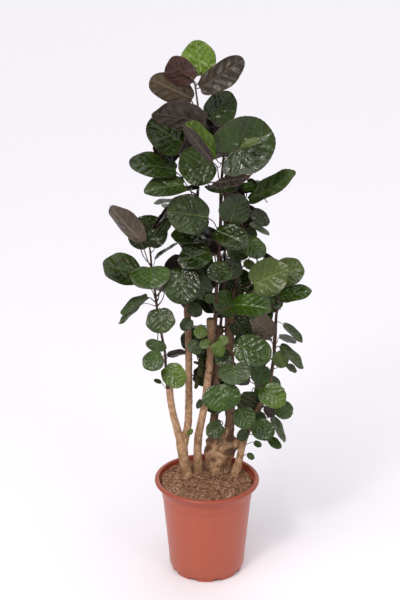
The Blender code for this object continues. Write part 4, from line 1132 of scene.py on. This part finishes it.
class ARALIA_OT_soil(bpy.types.Operator):
    """Fill the pot with clodded potting soil"""

    bl_idname = "aralia.soil"
    bl_label = "Soil"

    def execute(self, context):
        radius = POT_HIGH.x - 0.0158  # the pot's inside, just under the soil's top
        soil = ring_sheet("potting_soil", 160, [1.0 - 0.02 * i for i in range(49)])
        flat = points_of(soil.data)[:, :2] * radius
        # Crumbs of about 2 mm, none at the very edge.
        crumbs = [
            0.0011 * noise.noise(Vector((x * 420, y * 420, 9.0))) * min(1.0, (radius - hypot(x, y)) / 0.004)
            for x, y in flat
        ]
        move_points(soil.data, [(x, y, soil_height(x, y) + c) for (x, y), c in zip(flat, crumbs)])
        activate(soil)
        edit_all()
        bpy.ops.mesh.region_to_loop()
        bpy.ops.mesh.extrude_region_move(TRANSFORM_OT_translate={"value": (0.0, 0.0, -0.006)})
        bpy.ops.transform.resize(value=(0.93, 0.93, 1.0), center_override=(0.0, 0.0, 0.0))
        bpy.ops.mesh.edge_face_add()
        face_outwards()
        give(soil, soil_skin(context.scene.aralia_soil))
        soil.data.shade_smooth()
        finish_piece(soil, "soil", "soil")
        return {"FINISHED"}


def free_place(chance, reach):
    """A place on the soil, within reach of its middle, that isn't under a stem."""
    while True:
        radius, turn = reach * chance.random() ** 0.5, chance.uniform(0, 2 * pi)
        x, y = radius * cos(turn), radius * sin(turn)
        if all(hypot(x - foot.x, y - foot.y) > width * 0.95 for foot, width in FEET):
            return x, y


def scattered(name, blank, count, chance, sizes, reach, rise):
    """Copies of a small blank, each turned, sized and laid on the soil, as one piece.

    Each bit's middle stands rise times its thickness over the soil, and it keeps a tone of its own."""
    corners = points_of(blank.data)
    faces = [tuple(face.vertices) for face in blank.data.polygons]
    points, all_faces, tones = [], [], []
    for _ in range(count):
        x, y = free_place(chance, reach)
        size = np.array([chance.uniform(*pair) for pair in sizes])
        crooked = corners + np.array([[chance.uniform(-0.12, 0.12) for _ in range(3)] for _ in corners])
        turn = Matrix.Rotation(chance.uniform(0, 2 * pi), 3, "Z")
        for lean, axis in ((0.28, "X"), (0.2, "Y")):
            turn = turn @ Matrix.Rotation(chance.gauss(0, lean), 3, axis)
        turn = np.array(turn)
        placed = (crooked * size) @ turn.T + (x, y, soil_height(x, y) + size[2] * rise)
        all_faces += [tuple(index + len(points) for index in face) for face in faces]
        points += placed.tolist()
        tones += [(chance.random() ** 1.2, 0.0, 0.0)] * len(corners)
    mesh = bpy.data.meshes.new(name)
    mesh.from_pydata(points, [], all_faces)
    mesh.update()
    store(mesh, "bit", tones)
    made = bpy.data.objects.new(name, mesh)
    bpy.context.scene.collection.objects.link(made)
    return made


# The least and most length, width and thickness of a bit of litter, in metres.
CHIP_SIZES = ((0.003, 0.0085), (0.0014, 0.004), (0.0008, 0.0019))
FIBRE_SIZES = ((0.007, 0.02), (0.0006, 0.0013), (0.0006, 0.001))


class ARALIA_OT_litter(bpy.types.Operator):
    """Scatter bark chips and wood fibres over the soil"""

    bl_idname = "aralia.litter"
    bl_label = "Soil litter"

    def execute(self, context):
        settings = context.scene.aralia_soil
        chance = random.Random(11)
        reach = POT_HIGH.x - 0.019
        deselect()
        bpy.ops.mesh.primitive_cube_add(size=1.0)
        chip = context.object
        apply_modifier(chip, "BEVEL", width=0.16, segments=1)
        chips = scattered("bark_chips", chip, settings.chips, chance, CHIP_SIZES, reach, 0.3)
        remove_blanks(chip)
        deselect()
        bpy.ops.mesh.primitive_cylinder_add(vertices=5, radius=0.5, depth=1.0, rotation=(0.0, pi / 2, 0.0))
        bpy.ops.object.transform_apply(location=False, rotation=True, scale=False)
        strand = context.object
        edit_all()
        bpy.ops.mesh.bisect(plane_co=(0.15, 0.0, 0.0), plane_no=(1.0, 0.0, 0.0))
        bpy.ops.object.mode_set(mode="OBJECT")
        bent = points_of(strand.data)
        bent[:, 1] += 1.2 * (bent[:, 0] - 0.1) ** 2
        move_points(strand.data, bent)
        fibres = scattered("wood_fibres", strand, settings.fibres, chance, FIBRE_SIZES, reach, 0.9)
        remove_blanks(strand)
        for piece in (chips, fibres):
            give(piece, litter_skin(settings, f"dry_{piece.name}"))
            activate(piece)
            bpy.ops.object.mode_set(mode="EDIT")
            face_outwards()
            finish_piece(piece, "soil")
        return {"FINISHED"}


# The dark cleft between the burl and the right stem, at the burl's lower right.
CLEFT = seen(5.2, 25.4, 2.6)
BURL_TOP = 0.345  # metres up


def clamped(value):
    return min(1.0, max(0.0, value))


def wood_samples(name):
    """A stem's runs as (place, radius, length so far, run's number), and a tree that finds the nearest."""
    samples = []
    for number in range(len(STEM_RUNS[name])):
        gone = 0.0
        path = run_path(name, number, 0.005)
        for i, (place, radius) in enumerate(path):
            gone += (place - path[i - 1][0]).length if i else 0.0
            samples.append((place, radius, gone, number))
    tree = KDTree(len(samples))
    for i, sample in enumerate(samples):
        tree.insert(sample[0], i)
    tree.balance()
    return samples, tree


def carve_bark(piece, name):
    """Pushes a smooth stem out and in: leaf-scar rings, lengthwise ridges, knots, and the burl's lumps.

    It also keeps how young and how hollow each place is, for the bark's colours: hollow places get painted
    shade."""
    samples, tree = wood_samples(name)
    mesh = piece.data
    normals = np.empty(len(mesh.vertices) * 3, np.float32)
    mesh.vertices.foreach_get("normal", normals)
    normals = normals.reshape(-1, 3)
    points = points_of(mesh)
    moved, kept = np.empty_like(points), np.zeros_like(points)
    for i, point in enumerate(points):
        place = Vector(point)
        _, index, _ = tree.find(place)
        centre, radius, gone, number = samples[index]
        thick = clamped((radius - 0.0035) / 0.004)
        lumpy = 1.0 if name == "burl" and place.z < BURL_TOP else 0.0
        # A scar ring every 13 mm or so, ridges of about 4 mm, knots of about 16 mm and grit of about 3 mm.
        rings = 0.5 + 0.5 * cos(2 * pi * (gone / 0.013 + 0.6 * noise.noise(place * 45)))
        ridges = noise.noise(Vector((place.x * 260, place.y * 260, place.z * 40)))
        knots = noise.noise(place * 62)
        fine = noise.noise(place * 330)
        # The burl swells in lumps of about 24 mm and 8 mm, under strands that lean with it.
        burl = abs(noise.noise(place * 42)) + 0.35 * abs(noise.noise(place * 130 + Vector((3, 1, 2))))
        strands = noise.noise(Vector(((place.x - 0.5 * place.z) * 300, place.y * 120, place.z * 45)))
        out = thick * (0.00028 * rings**3 + 0.0003 * ridges + 0.0007 * knots) + 0.00018 * fine * (0.3 + thick)
        cleft = max(0.0, 1.0 - (place - CLEFT).length / 0.021) * lumpy
        out += lumpy * (0.0085 * burl - 0.0026 + 0.0011 * strands) - 0.024 * cleft
        moved[i] = point + normals[i] * out
        height = place.z / CM
        young = 1.0 - thick * (1.0 - clamped((height - 42.0) / 26.0) ** 1.4 * 0.85)
        # Painted shade: how deep a place lies in a dip between the burl's lumps, or in a knot's hollow.
        hollow = lumpy * max(0.0, 0.5 - 3.6 * burl - 0.9 * strands) + thick * max(0.0, -0.9 * knots - 0.12)
        if name == "burl":
            # The burl leans: its left side draws in towards the top. Above it, the bark soon darkens: partly
            # younger bark, partly painted shade from the leaves.
            if number == 0:
                rise = clamped((place.z - 0.262) / 0.05) * clamped((0.37 - place.z) / 0.05)
                moved[i][0] += 0.011 * rise * max(0.0, centre.x - place.x) / max(radius, 0.01)
            edge = 28.0 + 7.0 * noise.noise(place * 45)
            young = max(young, 0.8 * clamped((height - edge) / 3.2))
        # Above 30 cm the right stem darkens too: partly younger bark, partly painted shade from the leaves
        # above.
        if name == "right":
            young = max(young, 0.72 * clamped((height - 30.0) / 3.0))
        kept[i] = (young, clamped(hollow), 0.0)
    move_points(mesh, moved)
    store(mesh, "bark", kept)


class ARALIA_OT_stems(bpy.types.Operator):
    """Grow the woody stems, melt their forks together and carve their bark"""

    bl_idname = "aralia.stems"
    bl_label = "Stems"

    def execute(self, context):
        settings = context.scene.aralia_wood
        bark = bark_skin(settings)
        for name in STEM_RUNS:
            rods = []
            for number in range(len(STEM_RUNS[name])):
                path = run_path(name, number)
                thick = max(radius for _, radius in path) > 0.006
                rod = tube_blank(f"{name}_{number}", 20 if thick else 10, len(path))
                lay_along(rod, path)
                rods.append(rod)
            stem = joined(f"woody_stem_{name}", rods)
            apply_modifier(stem, "REMESH", mode="VOXEL", voxel_size=settings.voxel, adaptivity=0.0)
            apply_modifier(stem, "SMOOTH", factor=0.5, iterations=3)
            carve_bark(stem, name)
            give(stem, bark)
            stem.data.shade_smooth()
            finish_piece(stem, "bark", f"stem_{name}")
        return {"FINISHED"}


def leaf_blanks(sides, shares):
    """A flat blade and a straight stalk, for leaves to be copied from."""
    return ring_sheet("blade_blank", sides, shares), tube_blank("stalk_blank", 7, STALK_RINGS)


# How far out each ring of a blade is: close by the rim, which curls most. Large leaves, then the rest.
RIM_SHARES = (
    1.0, 0.985, 0.955, 0.91, 0.855, 0.795, 0.73, 0.665, 0.6, 0.535, 0.47, 0.405, 0.34, 0.27, 0.2, 0.12,
)
FEW_SHARES = (1.0, 0.97, 0.9, 0.8, 0.68, 0.55, 0.42, 0.29, 0.16)


class ARALIA_OT_large_leaves(bpy.types.Operator):
    """Shape the large leaves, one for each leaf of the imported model"""

    bl_idname = "aralia.large_leaves"
    bl_label = "Large leaves"

    def execute(self, context):
        settings = context.scene.aralia_leaves
        blanks = leaf_blanks(88, RIM_SHARES)
        for number, row in enumerate(LARGE_LEAVES, 1):
            name = f"leaf_{number:02d}"
            growth = growth_of(f"aralia_{name}", Leaf(*row))
            low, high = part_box(name)
            ends = (growth.base, growth.tip)
            if any(not low[i] - 0.02 < end[i] < high[i] + 0.02 for end in ends for i in range(3)):
                raise RuntimeError(f"{name} has left its place in the packed model")
            made = make_leaf(blanks, growth, settings.thickness, random.Random(f"{settings.seed} {name}"))
            finish_piece(made, "leaf", name)
        remove_blanks(*blanks)
        return {"FINISHED"}


class ARALIA_OT_small_leaves(bpy.types.Operator):
    """Shape the smaller leaves that show between the large ones"""

    bl_idname = "aralia.small_leaves"
    bl_label = "Small leaves"

    def execute(self, context):
        settings = context.scene.aralia_leaves
        blanks = leaf_blanks(48, FEW_SHARES)
        for number, row in enumerate(SMALL_LEAVES, 1):
            growth = growth_of(f"small_leaf_{number:02d}", Leaf(*row))
            made = make_leaf(blanks, growth, settings.thickness, random.Random(settings.seed + number))
            finish_piece(made, "leaf")
        remove_blanks(*blanks)
        return {"FINISHED"}


# Shoots that carry the unseen leaves: stem, run, and from how high to how high up it bears them.
SHOOTS = (
    ("left", 2, 50, 78),
    ("left", 3, 68, 108),
    ("middle", 1, 62, 104),
    ("burl", 2, 52, 90),
    ("burl", 4, 50, 88),
    ("right", 0, 36, 68),
)


def near_wood(place):
    """The shoot nearest a place, and where on it a stalk for that place starts."""
    found = []
    for stem, run, low, high in SHOOTS:
        height = min(max(place.z - 0.03, low * CM), high * CM)
        start, outward = leave_wood(stem, run, height, place)
        found.append(((start - place).length, start, outward))
    return min(found, key=lambda row: row[0])[1:]


def leaf_ovals():
    """Each large leaf as an oval on the upright plane: its middle, the way it points and its half sizes."""
    ovals = []
    for row in LARGE_LEAVES:
        leaf = Leaf(*row)
        base, tip = (Vector((end[0] * CM, end[1] * CM)) for end in (leaf.base, leaf.tip))
        run = tip - base
        ovals.append(((base + tip) / 2, run.normalized(), run.length / 2, leaf.width * CM / 2))
    return ovals


LEAF_OVALS = leaf_ovals()


OVAL_SHARE = 0.96  # how much of its oval a leaf surely covers


def hidden(place):
    """Whether a large leaf hides a place from the front."""
    ahead = place - EYE * CM
    at = EYE * CM - ahead * (EYE.y * CM / ahead.y)
    for middle, way, half_length, half_width in LEAF_OVALS:
        away = Vector((at.x, at.z)) - middle
        if hypot(away.dot(way) / half_length, away.cross(way) / half_width) < OVAL_SHARE:
            return True
    return False


def blade_corners(base, tip, width, look):
    """The places at a blade's two ends and two sides."""
    carry, length = leaf_frame(base, tip, look), (tip - base).length
    sides = [(length / 2, width / 2, 0.0), (length / 2, -width / 2, 0.0)]
    return [carry @ Vector(corner) for corner in ((0.0, 0.0, 0.0), (length, 0.0, 0.0), *sides)]


def inner_growth(name, number, count, chance):
    """A dark leaf in the thick of the crown, behind the large ones: four to a row, from 44 cm to 75 cm up."""
    column, row = number % 4, number // 4
    rows = -(-count // 4)
    x = 3.9 * (column + chance.uniform(-0.4, 0.4)) - (1.5 if row % 2 else 0.0)
    z = 44.0 + 31.0 * (row + chance.uniform(-0.4, 0.4)) / (rows - 1)
    base = seen(x, z, chance.uniform(3.0, 8.0))
    start, outward = near_wood(base)
    width = chance.uniform(0.048, 0.064)
    fall = chance.uniform(-1.0, 0.5)
    ahead = Vector((chance.choice((-1, 1)) * chance.uniform(0.5, 1.0), chance.uniform(-0.3, 0.3), fall))
    tip = base + ahead.normalized() * width
    look = (chance.uniform(-30, 30), chance.uniform(10, 60))
    kind = chance.choice(("mature", "mature", "mid"))
    return Growth(
        name, base, tip, width, look, lobe=0.15, cup=14, arch=0.02, kind=kind, start=start, outward=outward
    )


def back_growth(name, chance):
    """A leaf on the plant's far side, where the large ones hide it from the front."""
    while True:
        stem, run, low, high = chance.choice(SHOOTS)
        path = run_path(stem, run, 0.01)
        on_stem, _ = min(path, key=lambda step: abs(step[0].z - chance.uniform(low, high) * CM))
        way = radians(chance.uniform(100, 260))
        out = Vector((sin(way), -cos(way), 0.0))
        width = chance.uniform(0.06, 0.088)
        base = on_stem + out * chance.uniform(0.025, 0.07) + Vector((0.0, 0.0, chance.uniform(0.0, 0.04)))
        aside, swing = Vector((-out.y, out.x, 0.0)), radians(chance.uniform(150, 390))
        ahead = aside * cos(swing) + Vector((0.0, 0.0, sin(swing))) + out * chance.uniform(0.1, 0.5)
        tip = base + ahead.normalized() * width
        look = (way * 180.0 / pi + chance.uniform(-20, 20), chance.uniform(20, 55))
        corners = blade_corners(base, tip, width, look)
        if base.y > 0.0 and max(corner.y for corner in corners) < BACK_LIMIT and all(map(hidden, corners)):
            break
    start, outward = near_wood(base)
    kind = chance.choice(("mature", "mature", "glossy", "mid", "mature"))
    return Growth(
        name, base, tip, width, look, lobe=0.18, cup=14, arch=0.03, kind=kind, start=start, outward=outward
    )


# How far back a leaf may reach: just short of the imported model's own back leaves.
BACK_LIMIT = max(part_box(f"leaf_{number:02d}")[1].y for number in range(45, 55)) - 0.005


class ARALIA_OT_hidden_leaves(bpy.types.Operator):
    """Grow the dark leaves inside the crown and the leaves on its far side"""

    bl_idname = "aralia.hidden_leaves"
    bl_label = "Inner and back leaves"

    def execute(self, context):
        settings = context.scene.aralia_leaves
        blanks = leaf_blanks(48, FEW_SHARES)
        for number in range(settings.inner):
            chance = random.Random(f"{settings.seed} inner {number}")
            growth = inner_growth(f"inner_leaf_{number + 1:02d}", number, settings.inner, chance)
            finish_piece(make_leaf(blanks, growth, settings.thickness, chance), "leaf")
        for number in range(settings.back):
            chance = random.Random(f"{settings.seed} back {number}")
            growth = back_growth(f"back_leaf_{number + 1:02d}", chance)
            finish_piece(make_leaf(blanks, growth, settings.thickness, chance), "leaf")
        remove_blanks(*blanks)
        return {"FINISHED"}


# ---------------------------------------------------------------- stage
def aim(piece, target):
    piece.rotation_euler = (Vector(target) - piece.location).to_track_quat("-Z", "Y").to_euler()


def soft_box(name, place, target, size, watts, colour):
    """A lit panel, in metres, that faces a target."""
    lamp = bpy.data.lights.new(name, "AREA")
    lamp.shape = "RECTANGLE"
    (lamp.size, lamp.size_y), lamp.energy = size, watts
    lamp.color = linear(colour)[:3]
    holder = bpy.data.objects.new(name, lamp)
    bpy.context.scene.collection.objects.link(holder)
    holder.location = place
    aim(holder, target)


def soft_sun(name, place, angle, strength):
    """Even light from one side, as wide as its angle in degrees, so its shadows have no edge."""
    lamp = bpy.data.lights.new(name, "SUN")
    lamp.angle, lamp.energy = radians(angle), strength
    holder = bpy.data.objects.new(name, lamp)
    bpy.context.scene.collection.objects.link(holder)
    holder.location = place
    aim(holder, (0.0, 0.0, 0.0))


class ARALIA_OT_stage(bpy.types.Operator):
    """Lay the pale floor, hang the soft lights and place the camera"""

    bl_idname = "aralia.stage"
    bl_label = "Stage"

    def execute(self, context):
        settings = context.scene.aralia_stage
        deselect()
        bpy.ops.mesh.primitive_plane_add(size=60.0)
        floor = context.object
        floor.name = "studio_floor"
        # Seamless paper, rolled out flat: matt and even, so the lights leave no bright spot on it.
        paper, tree = new_material("backdrop_paper")
        finish_material(tree, opaque(settings.floor), 0.7, more={"Specular IOR Level": 0.2})
        floor.data.materials.append(paper)

        # Two soft boxes make the leaves' highlights. Three very wide suns stand for the room's own light.
        key, fill = {"size": (0.45, 0.42), "watts": 28.0}, {"size": (0.22, 0.6), "watts": 9.0}
        soft_box("key_light", (-1.0, -2.0, 2.6), (0.0, 0.0, 0.7), **key, colour="#fff6ea")
        soft_box("fill_light", (1.5, -2.1, 2.4), (0.0, 0.0, 0.5), **fill, colour="#fff8f0")
        soft_sun("room_light", (-0.9, -1.3, 2.2), angle=48.0, strength=1.32)
        soft_sun("room_fill", (1.2, -0.7, 2.2), angle=60.0, strength=0.62)
        soft_sun("rear_light", (0.5, 1.8, 2.2), angle=70.0, strength=0.9)
        # The air is bright along the horizon, as pale walls would be, and dimmer overhead.
        world = bpy.data.worlds.new("studio_air")
        world.use_nodes = True
        tree = world.node_tree
        tree.nodes.clear()
        way = add_node(tree, "TexCoord").outputs["Generated"]
        up = add_node(tree, "SeparateXYZ", {}, (way,)).outputs["Z"]
        strength = add_node(tree, "MapRange", SMOOTH, (up, 0.02, 0.3, 0.95, 0.36))
        air = add_node(tree, "Background", {}, {"Color": linear("#fffdf8"), "Strength": strength})
        add_node(tree, "OutputWorld", {}, {"Surface": air})
        context.scene.world = world

        lens = bpy.data.cameras.new("camera")
        lens.lens = settings.lens
        lens.clip_end = 30.0
        camera = bpy.data.objects.new("camera", lens)
        context.scene.collection.objects.link(camera)
        camera.location = EYE * CM
        camera.rotation_euler = (radians(90.0 - PITCH), 0.0, 0.0)
        context.scene.camera = camera
        context.scene.view_settings.view_transform = "Standard"
        return {"FINISHED"}


class ARALIA_PT_panel(bpy.types.Panel):
    """Lists each group's settings over the operators that use them"""

    bl_idname = "ARALIA_PT_panel"
    bl_label = "Potted Aralia"
    bl_space_type = "VIEW_3D"
    bl_region_type = "UI"
    bl_category = "Aralia"

    def draw(self, context):
        for group, operators in PANEL_ROWS:
            box = self.layout.box()
            settings = getattr(context.scene, group)
            for name in settings.__annotations__:
                box.prop(settings, name)
            for operator in operators:
                box.operator(operator)


PANEL_ROWS = (
    ("aralia_pot", ("aralia.pot",)),
    ("aralia_soil", ("aralia.soil", "aralia.litter")),
    ("aralia_wood", ("aralia.stems",)),
    ("aralia_leaves", ("aralia.large_leaves", "aralia.small_leaves", "aralia.hidden_leaves")),
    ("aralia_stage", ("aralia.stage",)),
)
SETTINGS = {
    "aralia_pot": PotSettings,
    "aralia_soil": SoilSettings,
    "aralia_wood": WoodSettings,
    "aralia_leaves": LeafSettings,
    "aralia_stage": StageSettings,
}
OPERATORS = (
    ARALIA_OT_pot,
    ARALIA_OT_soil,
    ARALIA_OT_litter,
    ARALIA_OT_stems,
    ARALIA_OT_large_leaves,
    ARALIA_OT_small_leaves,
    ARALIA_OT_hidden_leaves,
    ARALIA_OT_stage,
)
CLASSES = (*SETTINGS.values(), *OPERATORS, ARALIA_PT_panel)


def register():
    for kind in CLASSES:
        bpy.utils.register_class(kind)
    for name, group in SETTINGS.items():
        setattr(bpy.types.Scene, name, bpy.props.PointerProperty(type=group))


def unregister():
    for name in SETTINGS:
        delattr(bpy.types.Scene, name)
    for kind in reversed(CLASSES):
        bpy.utils.unregister_class(kind)


def main():
    register()
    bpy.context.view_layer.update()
    bpy.ops.aralia.pot()
    bpy.ops.aralia.soil()
    bpy.ops.aralia.litter()
    bpy.ops.aralia.stems()
    bpy.ops.aralia.large_leaves()
    bpy.ops.aralia.small_leaves()
    bpy.ops.aralia.hidden_leaves()
    bpy.ops.aralia.stage()


if __name__ == "__main__":
    main()
